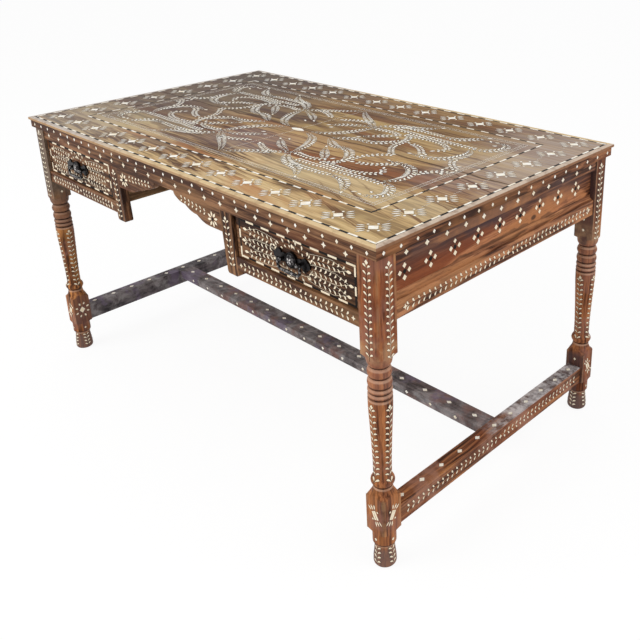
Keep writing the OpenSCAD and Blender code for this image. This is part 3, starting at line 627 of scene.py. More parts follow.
def lip_wear_and_painted_light(flat, rounded, under):
    """Colours for the top's edge strips: flat on their upper face, rounded on their lip, in rubbed patches, and a
    painted shade line of the colour under below the lip. The flat face greys towards the left end, a painted
    reflection as on the top."""

    def extra(place, colour, dull):
        x, _, z = place.parts()
        rub = place.noise(34.0, 4.0, 0.65)
        bare = z.between(0.7598, 0.7612) * rub.between(0.15, 0.4)
        # painted shade: a dark line just below the lip
        line = (z - 0.76).size().between(0.0014, 0.0003)
        # painted reflection: the flat upper face turns grey towards the left end
        worn = z.between(0.7664, 0.7677).tint(rounded, x.between(0.0, -0.45).tint(flat, (0.6, 0.53, 0.47, 1)))
        worn = coated(worn, (rub.between(0.45, 0.68), 0.5, tinted(rounded, (0.6, 0.55, 0.5))))
        return coated(colour, (line, 0.7, under), (bare, 0.92, worn)), dull + bare * 0.08

    return extra


def top_boards(wood):
    """One walnut for each of the four boards of the top."""
    colours = (wood.top_dark, wood.top_middle, wood.top_pale)

    def patches_sheen_and_shade(place, colour, dull):
        """Painted reflection: grey towards the left end, its back and the right back corner, in streaks at that
        corner, and a haze in front. Painted shade darkens the left end away from its front edge. Purple-brown patches
        on the left, an olive stretch in front, a golden front right corner and a warm spot behind the middle."""
        x, y, _ = place.parts()
        cloud = (place.noise(4.0, 4.0, 0.6) - 0.5) * 0.5
        # far: the left end away from its front edge, where painted shade darkens the top and the painted grey
        # reflection is darker
        far = (x + cloud).between(0.05, -0.4) * (y + cloud).between(-0.36, -0.04)
        colour = (far * 0.55).tint(colour, (0.42, 0.4, 0.42, 1), "MULTIPLY")
        patch = (x * 3.2).joined(y * 13.0, 4.0).noise(1.0, 4.0, 0.62, 0.4).between(0.5, 0.57)
        sheen_streaks = (x * 3.0).joined(y * 70.0, 0.0).noise(1.0, 3.0, 0.6).between(0.35, 0.65)
        return coated(
            colour,
            # painted reflection: grey towards the left end
            ((x + cloud).between(-0.05, -0.65), 0.6, far.tint((0.3, 0.26, 0.22, 1), (0.12, 0.1, 0.088, 1))),
            (patch * x.between(0.3, -0.2), 0.5, (0.105, 0.058, 0.048)),
            # painted reflection: a pinkish haze in front of the middle
            (near(x + 0.02, 0.17, 0.3) * near(y + 0.14, 0.12, 0.3), 0.4, (0.33, 0.235, 0.22)),
            (x.between(0.05, 0.2) * near(y + 0.225 + cloud * 0.1, 0.06, 0.5), 0.5, (0.56, 0.44, 0.26)),
            ((x + cloud * 0.3).between(0.24, 0.5) * (y + cloud * 0.2).between(-0.12, -0.3), 0.4, (0.6, 0.42, 0.2)),
            (near(x - 0.2, 0.2, 0.4) * near(y - 0.02 + cloud * 0.1, 0.1, 0.3), 0.28, (0.16, 0.07, 0.035)),
            # painted reflection: grey, in streaks, at the right back corner
            ((x + cloud).between(0.3, 0.68) * (y + cloud).between(-0.25, 0.15), sheen_streaks * 0.3 + 0.4,
             (0.5, 0.42, 0.38)),
        ), dull

    def slanting(factors, low, high, drop):
        """Thin dark lines that slant across the boards at the right end, from depth low to depth high."""

        def extra(place, colour, dull):
            colour, dull = patches_sheen_and_shade(place, colour, dull)
            x, y, _ = place.parts()
            lean = y + x * drop + (place.noise(7.0, 3.0) - 0.5) * 0.05
            lines = (x * 1.6).joined(lean * 42.0, 0.0).noise(1.0, 3.0, 0.6).between(0.56, 0.64)
            mask = x.between(0.22, 0.46) * y.between(low, low + 0.05) * y.between(high, high - 0.04)
            return coated(colour, (lines * mask, 0.75, tinted(colours[0], factors))), dull

        return extra

    def dark_seam(place, colour, dull):
        """Near-black lines beside the joint with the third board."""
        colour, dull = slanting((0.9, 0.6, 0.5), -0.2, 0.03, 0.26)(place, colour, dull)
        x, y, _ = place.parts()
        line = y + (x * 9.0).joined(0.0, 0.0).noise(1.0, 3.0) * 0.03 - 0.015
        band = (line - 0.0075).size().between(0.006, 0.0015) + (line + 0.038).size().between(0.004, 0.001) * 0.7
        return coated(colour, (band, 0.8, tinted(colours[0], (0.55, 0.5, 0.5)))), dull

    def board(number, *factors, **settings):
        walnut("top board " + number, *shades(colours, *factors), rough=0.44, shine=0.04, **settings)

    board("one", (1, 1, 1), (1.34, 1.42, 1.64), (1.16, 1.25, 1.4), seed=1.3, lean=-3, rings=16, flow=4.0,
          streak=0.62, band=0.18, mottle=0.7, extra=slanting((1.2, 0.8, 0.6), -0.5, -0.1, 0.3))
    board("two", (1.15, 0.9, 0.85), (0.8, 0.68, 0.66), (0.84, 0.77, 0.72), seed=7.9, lean=2, rings=20, flow=6.0,
          streak=0.8, band=0.2, mottle=0.75, extra=dark_seam)
    board("three", (1, 1, 1), (0.72, 0.69, 0.62), (0.78, 0.75, 0.69), seed=4.6, rings=18, streak=0.65, band=0.16,
          mottle=0.75, extra=patches_sheen_and_shade)
    board("four", (1.0, 0.9, 1.05), (0.52, 0.45, 0.38), (0.58, 0.5, 0.42), seed=9.2, lean=1.5, rings=22,
          streak=0.7, band=0.2, extra=patches_sheen_and_shade)


def end_patches_and_shade(place, colour, dull):
    """Painted shade darkening the top of the panel under the upper rail; a dark purple patch high up, a dark streak
    lower down and a knot, as in walnut near the sapwood.
    """
    _, y, z = place.parts()
    cloud = place.noise(16.0, 3.0) * 0.05

    def oval(across, up, rim, core):
        return (across**2 + up**2).between(rim, core)

    return coated(
        colour,
        # painted shade: darker towards the top of the panel, under the upper rail
        ((z + cloud - 0.02).between(0.672, 0.712), 0.6, (0.1, 0.052, 0.045)),
        (oval((y + 0.09) / 0.13, (z + cloud - 0.745) / 0.03, 1.3, 0.35), 0.75, (0.05, 0.028, 0.034)),
        (oval((y - 0.05) / 0.34, (z + cloud - 0.668) / 0.008, 1.2, 0.3), 0.55, (0.07, 0.035, 0.02)),
        (oval((y - 0.115) / 0.012, (z - 0.658) / 0.007, 1.2, 0.2), 0.8, (0.03, 0.016, 0.012)),
    ), dull


def rail_shade(place, colour, dull):
    """The upper rails of the ends are darker and more purple than the lower ones."""
    _, _, z = place.parts()
    high = z.between(0.68, 0.7) * place.noise(12.0, 3.0, 0.6).between(0.3, 0.6)
    return coated(colour, (high, 0.6, (0.1, 0.055, 0.05))), dull


def leg_wear_and_painted_light(place, colour, dull):
    """Rubbed corners on the square blocks, where the smaller of the distances from the leg's two middle planes is
    large. Between the turned rings, painted shade on each ring's underside by a crease, a painted highlight on the
    ring's top below it, and bumps at the creases. Painted shade on the back legs' front sides and on the inner faces
    of the left legs' lower blocks, and a painted golden highlight low on the right posts. Left legs are greyer, and
    all feet darker."""
    x, y, z = place.parts()
    away_x, away_y = (x.size() - LEG_X / 1000).size(), (y.size() - LEG_Y / 1000).size()
    rub = place.noise(45.0, 3.0)
    # dark: painted shade on each ring's underside, from just below a crease to 6 mm above it; light: a painted
    # highlight on the ring's top, 1.5 to 7.5 mm under the crease; cut: bumps at the creases
    dark, light, cut = 0.0, 0.0, 0.0
    for crease in (0.2085, 0.4238, 0.4365, 0.449, 0.4717, 0.496, 0.0595):
        up = z - crease
        dark = up.between(-0.0012, 0.0004) * up.between(0.006, 0.0015) + dark
        light = up.between(-0.0075, -0.004) * up.between(0.0, -0.0015) + light
        cut = up.size().between(0.0045, 0.0004) + cut
    left = x.between(-0.5, -0.6)
    greys = rub.between(0.35, 0.65).tint((0.17, 0.128, 0.095, 1), (0.095, 0.07, 0.056, 1))
    colour = coated(
        colour,
        (away_x.maths("MINIMUM", away_x, away_y).between(0.0175, 0.022) * rub.between(0.3, 0.6), 0.4,
         (0.5, 0.29, 0.14)),
        (place.noise(13.0, 3.0, 0.6).between(0.5, 0.64), 0.5, (0.3, 0.135, 0.1)),
        (z.between(0.418, 0.424) * z.between(0.53, 0.515), 0.35, (0.36, 0.17, 0.12)),
        # painted highlight on the tops of the rings
        (light, rub * 0.9 + 0.05, (0.68, 0.42, 0.29)),
        (left * z.between(0.47, 0.56), 0.92, greys),
        (left * z.between(0.418, 0.424) * z.between(0.53, 0.515), 0.45, (0.12, 0.07, 0.05)),
        # painted shade on the inner faces of the left legs' lower blocks
        ((x + (LEG_X - HALF_LEG) / 1000).size().between(0.002, 0.0005) * z.between(0.2, 0.18), 0.65,
         (0.12, 0.06, 0.055)),
        # painted shadow on the front sides of the back legs
        (y.between(0.2, 0.3) * y.between(0.3645, 0.3625) * (z - 0.34).size().between(0.15, 0.17), 0.75,
         (0.075, 0.045, 0.045)),
        (z.between(0.062, 0.04), 0.7, (0.165, 0.11, 0.096)),
        # painted golden highlight low on the right posts
        ((z - 0.535).size().between(0.035, 0.01) * x.between(0.5, 0.6) * rub.between(0.3, 0.6), 0.5,
         (0.5, 0.3, 0.16)),
        # painted shade on the rings' undersides
        (dark, 0.85, (0.025, 0.012, 0.009)),
    )
    return colour, dull, cut * -6.0


def bar_clouds(place, colour, dull):
    """Charcoal, red-brown and violet clouds on the blackened stretchers."""
    sooty = place.noise(24.0, 4.0, 0.65, 0.5).ramp(
        (0.36, (0.03, 0.028, 0.029, 1)), (0.5, (0.14, 0.127, 0.127, 1)), (0.64, (0.33, 0.31, 0.31, 1)))
    colour = place.node("ShaderNodeMix", {0: 0.72, 6: colour, 7: sooty}, {"data_type": "RGBA"}, 2)
    red = place.noise(7.0, 4.0, 0.65).between(0.5, 0.62) * place.parts()[0].between(-0.66, -0.6)
    violet = place.noise(9.0, 4.0, 0.65).between(0.53, 0.63)
    return coated(colour, (red, 0.6, (0.26, 0.125, 0.1)), (violet, 0.6, (0.19, 0.145, 0.22))), dull


def bar_sheen(place, colour, dull):
    """Rosy wood, and a painted grey reflection on its top behind the long stretcher."""
    _, y, z = place.parts()
    rosy = place.noise(11.0, 3.0, 0.6).between(0.5, 0.62)
    # painted reflection: grey glare on the top face behind the long stretcher
    glare = z.between(0.1405, 0.1415) * (y + (place.noise(9.0, 4.0, 0.65) - 0.5) * 0.3).between(-0.05, 0.06)
    grey = place.noise(40.0, 4.0, 0.7).ramp((0.38, (0.1, 0.088, 0.09, 1)), (0.6, (0.74, 0.72, 0.73, 1)))
    return coated(colour, (rosy, 0.5, (0.4, 0.2, 0.14)), (glare, 0.8, grey)), dull


def bone_finish(bone, name, cream):
    """Bone: pieces differ a little in tone, with faint brown veins and a satin surface. Cream is the share by which
    it is yellower below the top."""
    place = blank(name)[1]
    vein = place.noise(900.0, 2.0, 0.6)
    colour = place.noise(70.0, 1.0).between(0.35, 0.7).tint(tinted(bone), tinted(bone, (0.9, 0.83, 0.7)))
    colour = coated(colour, (place.parts()[2].between(0.76, 0.7), cream, tinted(bone, (0.93, 0.8, 0.6))),
                    (vein.between(0.6, 0.75), 0.3, tinted(bone, (0.6, 0.48, 0.34))))
    dress(place, colour, vein * 0.2 + 0.35, vein, 0.00005, Specular_IOR_Level=0.2)


def iron_finish(iron):
    """Blackened iron, paler where it stands out furthest, both rubbed wear and a painted highlight, with a hammered
    surface.
    """
    place = blank("black iron")[1]
    dent = place.noise(220.0, 3.0, 0.55)
    # proud: rubbed wear and a painted highlight on the parts nearest the front
    proud = place.parts()[1].between(-0.4120, -0.4165) * dent.between(0.45, 0.7)
    colour = place.noise(90.0, 2.0).between(0.4, 0.75).tint(tinted(iron.iron), tinted(iron.iron, (2.6, 2.4, 2.3)))
    colour = coated(colour, (proud, 0.7, iron.worn))
    dress(place, colour, dent * 0.3 + (iron.roughness - 0.12), dent, 0.0003, Metallic=0.85)


def flecked(name, noise, low, high, plain, fleck, dull, least, **fixed):
    """A finish whose fine noise, from low to high, turns it from plain to fleck, roughens it and gives its bump."""
    place = blank(name)[1]
    fine = place.noise(*noise)
    dress(place, fine.between(low, high).tint(plain, fleck), fine * dull + least, fine, 0.00005, **fixed)


FINISHES = {
    "top board one": "top_board_1",
    "top board two": "top_board_2",
    "top board three": "top_board_3",
    "top board four": "top_board_4",
    "edge along": "top_edge_front top_edge_back",
    "edge across": "top_edge_left top_edge_right",
    "leg left": "leg_front_left leg_back_left",
    "leg right": "leg_front_right leg_back_right",
    "inner post": "inner_post_left inner_post_right",
    "end rail": "end_top_rail_left end_top_rail_right end_low_rail_left end_low_rail_right",
    "end panel": "end_panel_left end_panel_right",
    "dark bar across": "end_stretcher_left",
    "red bar": "end_stretcher_right",
    "dark bar along": "long_stretcher",
    "drawer front left": "drawer_front_left",
    "drawer front right": "drawer_front_right",
    "case wood": "front_top_rail drawer_rail_left drawer_rail_right bracket_left bracket_right back_top_rail "
                 "back_panel back_low_rail",
    "black iron": "handle_plate_left handle_plate_right handle_posts_left handle_posts_right bail_left bail_right",
    "steel": "top_screws",
}


class DESK_OT_wood(bpy.types.Operator):
    """Give every piece of the desk its wood or metal"""

    bl_idname = "desk.wood"
    bl_label = "Wood and metal finishes"

    def execute(self, context):
        wood, inlay, iron = context.scene.desk_wood, context.scene.desk_inlay, context.scene.desk_iron
        top_boards(wood)
        self.case_and_legs(wood)
        bone_finish(inlay.bone, "aged bone", 0.75)
        bone_finish(inlay.bone, "pale bone", 0.15)
        iron_finish(iron)
        flecked("black inlay", (300.0, 3.0, 0.6), 0.4, 0.75, tinted(inlay.black),
                tinted(inlay.black, (2.6, 2.1, 1.9)), 0.2, 0.4, Specular_IOR_Level=0.1)
        # the handles' stars: the rosette's star painted near white as its glint
        flecked("painted glint iron", (500.0, 2.0), 0.3, 0.7, tinted(iron.worn, (1.6, 1.6, 1.6)),
                tinted(iron.worn, (1.1, 1.1, 1.1)), 0.15, 0.3, Metallic=0.3)
        flecked("steel", (400.0, 3.0), 0.3, 0.7, (0.42, 0.41, 0.39, 1), (0.24, 0.22, 0.2, 1), 0.2, 0.25, Metallic=1.0)
        finish_of = {name: finish for finish, names in FINISHES.items() for name in names.split()}
        for name, node in nodes.items():
            lo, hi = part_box(name)
            plain = "plain wood along" if hi.x - lo.x > hi.y - lo.y else "plain wood across"
            if not node.material_slots:
                raise RuntimeError(f"{name} has no material slot")
            for slot in node.material_slots:
                slot.material = bpy.data.materials[finish_of.get(name, plain)]
        return {"FINISHED"}

    def case_and_legs(self, wood):
        """The walnut of every piece below the top, and of the top's edge strips."""
        case = shades((wood.case_dark, wood.case_middle, wood.case_pale))
        legs = shades((wood.leg_dark, wood.leg_middle, wood.leg_pale))
        red = shades(case, (1.12, 0.92, 0.84))
        edge = shades(case, (1.9, 1.9, 2.0), (1.08, 1.08, 1.1), (0.9, 0.9, 0.92))
        # under: the colour of the painted shade line below the top's lip
        under = tinted(wood.case_dark, (0.5, 0.5, 0.5))
        for colours, seed, streak, flat, rounded in (
            (("edge along", *edge, "X"), 3.1, 0.3, (0.98, 1.06, 1.0), (0.62, 0.56, 0.5)),
            # on the ends the flat face is tinted blue-grey, a painted reflection as on the top
            (("edge across", *red, "Y"), 5.7, 0.4, (0.86, 1.0, 1.32), (0.4, 0.29, 0.26)),
        ):
            walnut(*colours, seed=seed, rings=60, streak=streak,
                   extra=lip_wear_and_painted_light(tinted(wood.lip, flat), tinted(wood.lip, rounded), under))
        calm = shades(case, (1.6, 1.6, 1.7), (1.06, 1.06, 1.08), (0.96, 0.95, 0.97))
        walnut("case wood", *calm, seed=2.2, rings=45, streak=0.3, mottle=0.4)
        walnut("inner post", *case, along="Z", seed=6.4, rings=50)
        walnut("end rail", *shades(red, (1.42, 1.5, 1.58)), along="Y", seed=8.8, rings=45, mottle=0.7,
               extra=rail_shade)
        walnut("end panel", *shades(red, (1.36, 1.3, 1.28)), along="Y", seed=0.9, rings=30, flow=4.0, mottle=0.85,
               extra=end_patches_and_shade)
        for hand, seed, factors in (("left", 1.7, (1.36, 1.42, 1.2)), ("right", 4.1, (1.06, 1.0, 0.96))):
            walnut("leg " + hand, *shades(legs, factors), along="Z", seed=seed, rings=48, flow=3.0, streak=0.4,
                   band=0.16, extra=leg_wear_and_painted_light)
        for hand, seed, factors in (("left", 5.1, (0.86, 0.86, 0.84)), ("right", 9.6, (0.86, 0.83, 0.78))):
            walnut("drawer front " + hand, *shades(case, factors), seed=seed, rings=42)
        walnut("red bar", *legs, along="Y", seed=7.1, rings=50, streak=0.5, band=0.2, extra=bar_sheen)
        bars = [tinted(wood.bar_middle, (f, f, f)) for f in (0.5, 2.3, 5.2)]
        walnut("dark bar along", *bars, seed=6.0, rings=60, streak=0.6, band=0.2, extra=bar_clouds)
        walnut("dark bar across", *shades(bars, (0.7, 0.75, 0.85)), along="Y", seed=3.6, rings=60, streak=0.6,
               band=0.2, extra=bar_clouds)
        plain = shades([linear(code) for code in ("#5f4630", "#806244", "#9b7c5a")])
        for way, along in (("along", "X"), ("across", "Y")):
            walnut("plain wood " + way, *plain, along=along, seed=2.8, rings=50, streak=0.25, rough=0.55)


# The top


class DESK_OT_top_borders(bpy.types.Operator):
    """Lay the dashed lines, the border stars and the stringing into the top"""

    bl_idname = "desk.top_borders"
    bl_label = "Top borders"

    def execute(self, context):
        top = level(TOP)
        bone, black = inks("top_border")
        dashes(bone, black, top, (-704.7, -405.7), (704.7, -405.7), 28, 5.2, FLIP_V, False)
        dashes(bone, black, top, (702.3, -403.0), (702.3, 403.0), 16, 5.2, FLIP_U)
        dashes(bone, black, top, (-589, -302), (589, -302), 24, 5.0, FLIP_V)
        dashes(bone, black, top, (587, -299), (587, 299), 12, 5.0, FLIP_U, False)
        black.strip([(-707, -408.5), (707, -408.5)], 0.9, top, FLIP_V)
        black.strip([(705, -408), (705, 408)], 0.9, top, FLIP_U)
        steps = np.linspace(-354.5, 354.5, 8)
        spots = [(x, y) for y in (-355, 355) for x in np.linspace(-645, 645, 14)]
        spots = np.array(spots + [(x, y) for x in (-644.5, 644.5) for y in steps[1:-1]])

        def turned(a, b, angle):
            """The place a, b of every star, whose axes stand at 45 degrees, with an angle."""
            return np.c_[spots + np.array((a - b, a + b)) * math.sqrt(0.5), np.full(len(spots), angle)]

        bone.stamp(bar(19.5, 17.5), turned(0, 0, 45.0), top, seam=1.2)
        for a, b in ((10.0, 16.5), (-10.0, 16.5), (10.0, -16.5), (-10.0, -16.5)):
            bone.stamp(dot(3.0), turned(a, b, 0.0), top)
        for way in (1, -1):
            for off, swing in ((-12.0, -17.0), (-4.1, -5.0), (4.1, 5.0), (12.0, 17.0)):
                rays = turned(15.0 * way, off * way, 45 + 90 * (1 - way) + swing)
                bone.stamp(leaf(20.0, 4.1, 0, 1.0), rays, top, seam=1.4)
        for y in (steps[1:] + steps[:-1]) / 2:
            bone.strip([(644.5, y - 14), (644.5, y + 14)], 0.6, top, FLIP_U)
        for x, y, wide in ((551.5, 261.5, 1.1), (557, 267, 0.6), (562.5, 272.5, 1.1)):
            bone.strip([(-x, -y), (x, -y)], wide, top, FLIP_V)
            bone.strip([(x, 0.6 - y), (x, y - 0.6)], wide, top, FLIP_U, lay=0.13)
        bone.make()
        black.make()
        return {"FINISHED"}


# Stems of one quarter of the top's arabesque, from where each grows to its tip. The second number is half the
# width of the feathered band round a stem at its widest, and the third the share of its length where that is.
STEMS = (
    (((46, 6), (80, 20), (105, 40), (125, 68), (138, 95), (146, 125), (155, 150)), 13, 0.5),
    (((132, 4), (160, 22), (188, 38), (222, 44)), 12, 0.55),
    (((200, 34), (240, 42), (268, 60), (288, 88), (296, 118)), 13, 0.5),
    (((184, 62), (206, 86), (228, 106), (252, 128)), 12, 0.6),
    (((155, 138), (190, 143), (215, 145), (243, 138), (262, 120)), 0, 0),
    (((275, 150), (292, 125), (302, 95), (305, 62), (318, 36), (338, 14), (352, 2)), 0, 0),
    (((386, 38), (425, 36), (460, 48), (482, 70), (493, 100), (490, 130), (474, 156)), 14, 0.6),
    (((425, 44), (403, 54), (383, 74), (355, 91), (326, 98)), 0, 0),
    (((494, 76), (503, 50), (518, 32), (545, 12)), 0, 0),
    (((255, 148), (300, 148), (350, 153), (393, 145), (420, 130), (431, 112), (414, 92)), 0, 0),
    (((196, 172), (250, 172), (300, 168), (350, 171), (400, 167), (450, 166), (486, 168)), 0, 0),
    (((478, 160), (508, 170), (528, 190), (535, 214), (524, 236), (498, 244)), 13, 0.4),
    (((146, 148), (165, 175), (200, 198), (240, 212), (266, 226), (294, 254)), 15, 0.4),
    (((205, 200), (250, 201), (300, 203), (350, 198)), 0, 0),
    (((345, 198), (386, 200), (414, 214), (434, 234), (450, 255)), 13, 0.5),
    (((134, 145), (98, 131), (66, 112), (38, 90)), 11, 0.6),
    (((150, 142), (120, 166), (90, 185), (55, 208), (27, 230), (4, 252)), 12, 0.35),
    (((118, 176), (95, 175), (60, 165), (28, 148)), 0, 0),
)
# Buds of that quarter: place and angle in degrees.
BUDS = ((294, 254, 50), (450, 255, 55), (414, 92, 240), (498, 244, 190), (478, 236, 140), (508, 222, 215),
        (545, 12, -35), (326, 98, 165), (222, 44, 20), (184, 62, 230), (262, 120, -60), (60, 78, 215), (38, 90, 215),
        (28, 148, 210), (296, 118, 80), (352, 2, -60), (386, 38, 190), (532, 30, 20), (524, 14, 250))


class DESK_OT_arabesque(bpy.types.Operator):
    """Lay the leafy arabesque into the middle of the top"""

    bl_idname = "desk.arabesque"
    bl_label = "Top arabesque"

    def execute(self, context):
        inlay = context.scene.desk_inlay
        size, width, gap = (1000 * v for v in (inlay.leaf_length, inlay.leaf_width, inlay.leaf_gap))
        top = level(TOP)
        shape, rib = leaf(size, width, 31, 1.3), leaf(size * 1.4, width * 0.84, 13, 1.0)
        least, drawn_for = 2.5, 12.5  # half widths of a feathered band: the least, and that of unscaled leaves
        for number, quarter in enumerate(QUARTERS, 1):
            bone = Inlay(f"arabesque_bone_{number}")
            for points, reach, widest in STEMS:
                path = smooth(points)
                length = lengths(path)[-1]
                if not reach:
                    at = np.arange(gap / 2, length - 4, gap)
                    bone.pairs(top, path, at, shape, 0.6, 36.0, (quarter,), 1.08 - 0.16 * at / length, seam=1.5)
                    continue
                share = np.linspace(0, 1, len(path))
                swell = np.where(share < widest, share / widest, (1 - share) / (1 - widest))
                wide = least + (reach - least) * np.sin(swell * np.pi / 2)
                for hand in (1, -1):
                    edge = path + hand * leftward(path) * wide[:, None]
                    bone.strip(edge[1:-1], 0.6, top, (quarter,), lay=0.12)
                at = np.arange(4.0, length - 6, gap)
                scale = np.interp(at / length, share, wide) / drawn_for
                bone.pairs(top, path, at, rib, 0.8, 42.0, (quarter,), scale, seam=1.7)
            bone.stamp(almond(14.0, 6.5), BUDS, top, (quarter,), seam=1.3)
            bone.make()
        middle = Inlay("arabesque_middle_bone")
        t = np.linspace(0, 1, 13)
        lens = np.c_[-25 + 50 * t, -10 * np.sin(np.pi * t) ** 0.8]
        middle.stamp(np.vstack([lens, (lens * (1, -1))[-2:0:-1]]), [(0, 0)], top)
        middle.strip([(0, 13), (0, 246)], 1.0, top, FLIP_V, lay=0.11)
        middle.make()
        return {"FINISHED"}


# The front


class DESK_OT_front(bpy.types.Operator):
    """Lay diamonds, stars, leaf bands and daisies into the front's edge, rails, posts and brackets"""

    bl_idname = "desk.front"
    bl_label = "Front inlay"

    def execute(self, context):
        bone, black = inks("front")
        edge, rail = front(-EDGE_Y), front(-RAIL_Y)
        bone.stamp(diamond(8.0, 9.5), [(x, EDGE_ROW) for x in np.linspace(-690, 690, 35)], edge)
        row = [*np.linspace(-624, 156, 14), 216, 277, 344, 396, 451, 506, 562, 624]
        bone.stamp(star(4, 7.2, 3.3), [(x, 725.5) for x in row], rail)
        column(bone, rail, (245, 566), (231, 694))
        column(bone, rail, (-258, 566), (-264, 697))
        for left, middle, right in ((-638, -473, -297), (276.7, 464.3, 638.3)):
            leaf_band(bone, rail, left, middle, right, 592.3, 15.7, (6.5, 2.6))
        for x, z, tip, step in ((-213, 683, -92, 15.5), (181, 679, 58, -15.5)):
            bone.stamp(almond(14.5, 6.2), rayed(x, z, 8, 5.5, 5.5, 0.2), rail)
            black.stamp(star(6, 4.4, 4.0), [(x, z)], rail, lay=0.2)
            path = np.linspace((x + step * 1.75, z + 10), (tip, 699.5), 9)
            bone.pairs(rail, path, np.arange(0, lengths(path)[-1], abs(step)), leaf(10.0, 4.6, 45), 1.2, 26.0)
        bone.make()
        black.make()
        return {"FINISHED"}


class DESK_OT_drawers(bpy.types.Operator):
    """Lay the dashed borders, the sprays and the wreath round the handle into both drawer fronts"""

    bl_idname = "desk.drawers"
    bl_label = "Drawer inlay"

    def execute(self, context):
        face = front(-DRAWER_Y)
        for hand, (left, right, handle) in DRAWERS.items():
            bone, black = inks(f"drawer_{hand}", f"drawer_{hand}")
            low, high, a, b = 616.3, 703.7, left + 11.5, right - 12.5
            for v in (low, high):
                dashes(bone, black, face, (a - 2.3, v), (b + 2.3, v), 7, 4.6, ONCE, v == low, 0.5)
            for u in (a, b):
                dashes(bone, black, face, (u, low + 2.5), (u, high - 2.5), 2, 4.6, ONCE, u == a, 0.5)
            for way, limit in ((1, b - 6), (-1, a + 6)):
                for start, stop, z0, z1 in ((44, 20, 675, 685), (62, 14, 657, 657), (44, 20, 641, 631)):
                    reach = abs(limit - handle) - start - stop
                    path = smooth([(start, z0), (start + reach * 0.4, z0 * 0.3 + z1 * 0.7), (start + reach, z1)])
                    path = path * (way, 1) + (handle, 0)
                    at = np.arange(5, reach - 3, 14.6)
                    angles = bone.pairs(face, path, at, leaf(12.6, 4.1, 62, 1.6), 1.2, 20.0)
                    bone.stamp(almond(15.0, 7.0), [(*path[-1], angles[-1])], face)
                    share = np.linspace(0, 1, len(path))
                    wide = 12.0 * np.minimum(1, (1 - share) * 3.0 + 0.06)
                    for side_of in (1, -1):
                        bone.strip(path + np.c_[share * 0, side_of * wide], 0.6, face, lay=0.1)
            self.wreath(bone, face, handle)
            bone.stamp(diamond(9, 11), [(handle, 690.0)], face)
            ogee = smooth([(-62, -6), (-46, -24), (-18, -28), (0, -38), (18, -28), (46, -24), (62, -6)])
            bone.strip(ogee + (handle, HANDLE), 1.0, face, lay=0.1)
            bone.make()
            black.make()
        return {"FINISHED"}

    def wreath(self, bone, face, handle):
        """Two rings of leaves round the handle, left open at its sides. A ring is the ellipse wide * cos(turn),
        tall * sin(turn), and its leaves stand square to the outer one."""
        turn = np.radians(np.arange(18, 360, 20.0))
        away = np.degrees(np.arctan2(np.sin(turn) * 58, np.cos(turn) * 34))
        for wide, tall, clear, lean, size in ((58, 34, 9, 0, (11.0, 4.8)), (40, 24, 14, 18, (8.5, 4.0))):
            ring = np.c_[handle + wide * np.cos(turn), HANDLE + tall * np.sin(turn), away + lean, np.ones(18)]
            bone.stamp(leaf(*size, 40), ring[np.abs(ring[:, 1] - HANDLE) > clear], face)


# Legs, ends, back and stretchers


def block_flower(bone, side, u, lean):
    """The motif of a lower block, leaning by some degrees: two bars side by side, a dot at two of their corners
    and three rays beyond each end."""
    c, s = math.cos(math.radians(lean)), math.sin(math.radians(lean))

    def laid(x, y, turn=0.0):
        return u + x * c - y * s, BLOCK + x * s + y * c, lean + turn, 1

    way = 1 if lean > 0 else -1
    bone.stamp(bar(5.6, 21.5), [laid(-3.2, 0), laid(3.2, 0)], side, seam=0.5)
    bone.stamp(dot(2.4), [laid(11.5 * way, 7.0), laid(-11.5 * way, -7.0)], side)
    rays = [laid(off * 0.8, 13.0 * up, 90 * up - off * up * 3.0) for up in (1, -1) for off in (-6.5, 0, 6.5)]
    bone.stamp(leaf(13.0, 3.8, 0, 1.0), rays, side, seam=0.5)


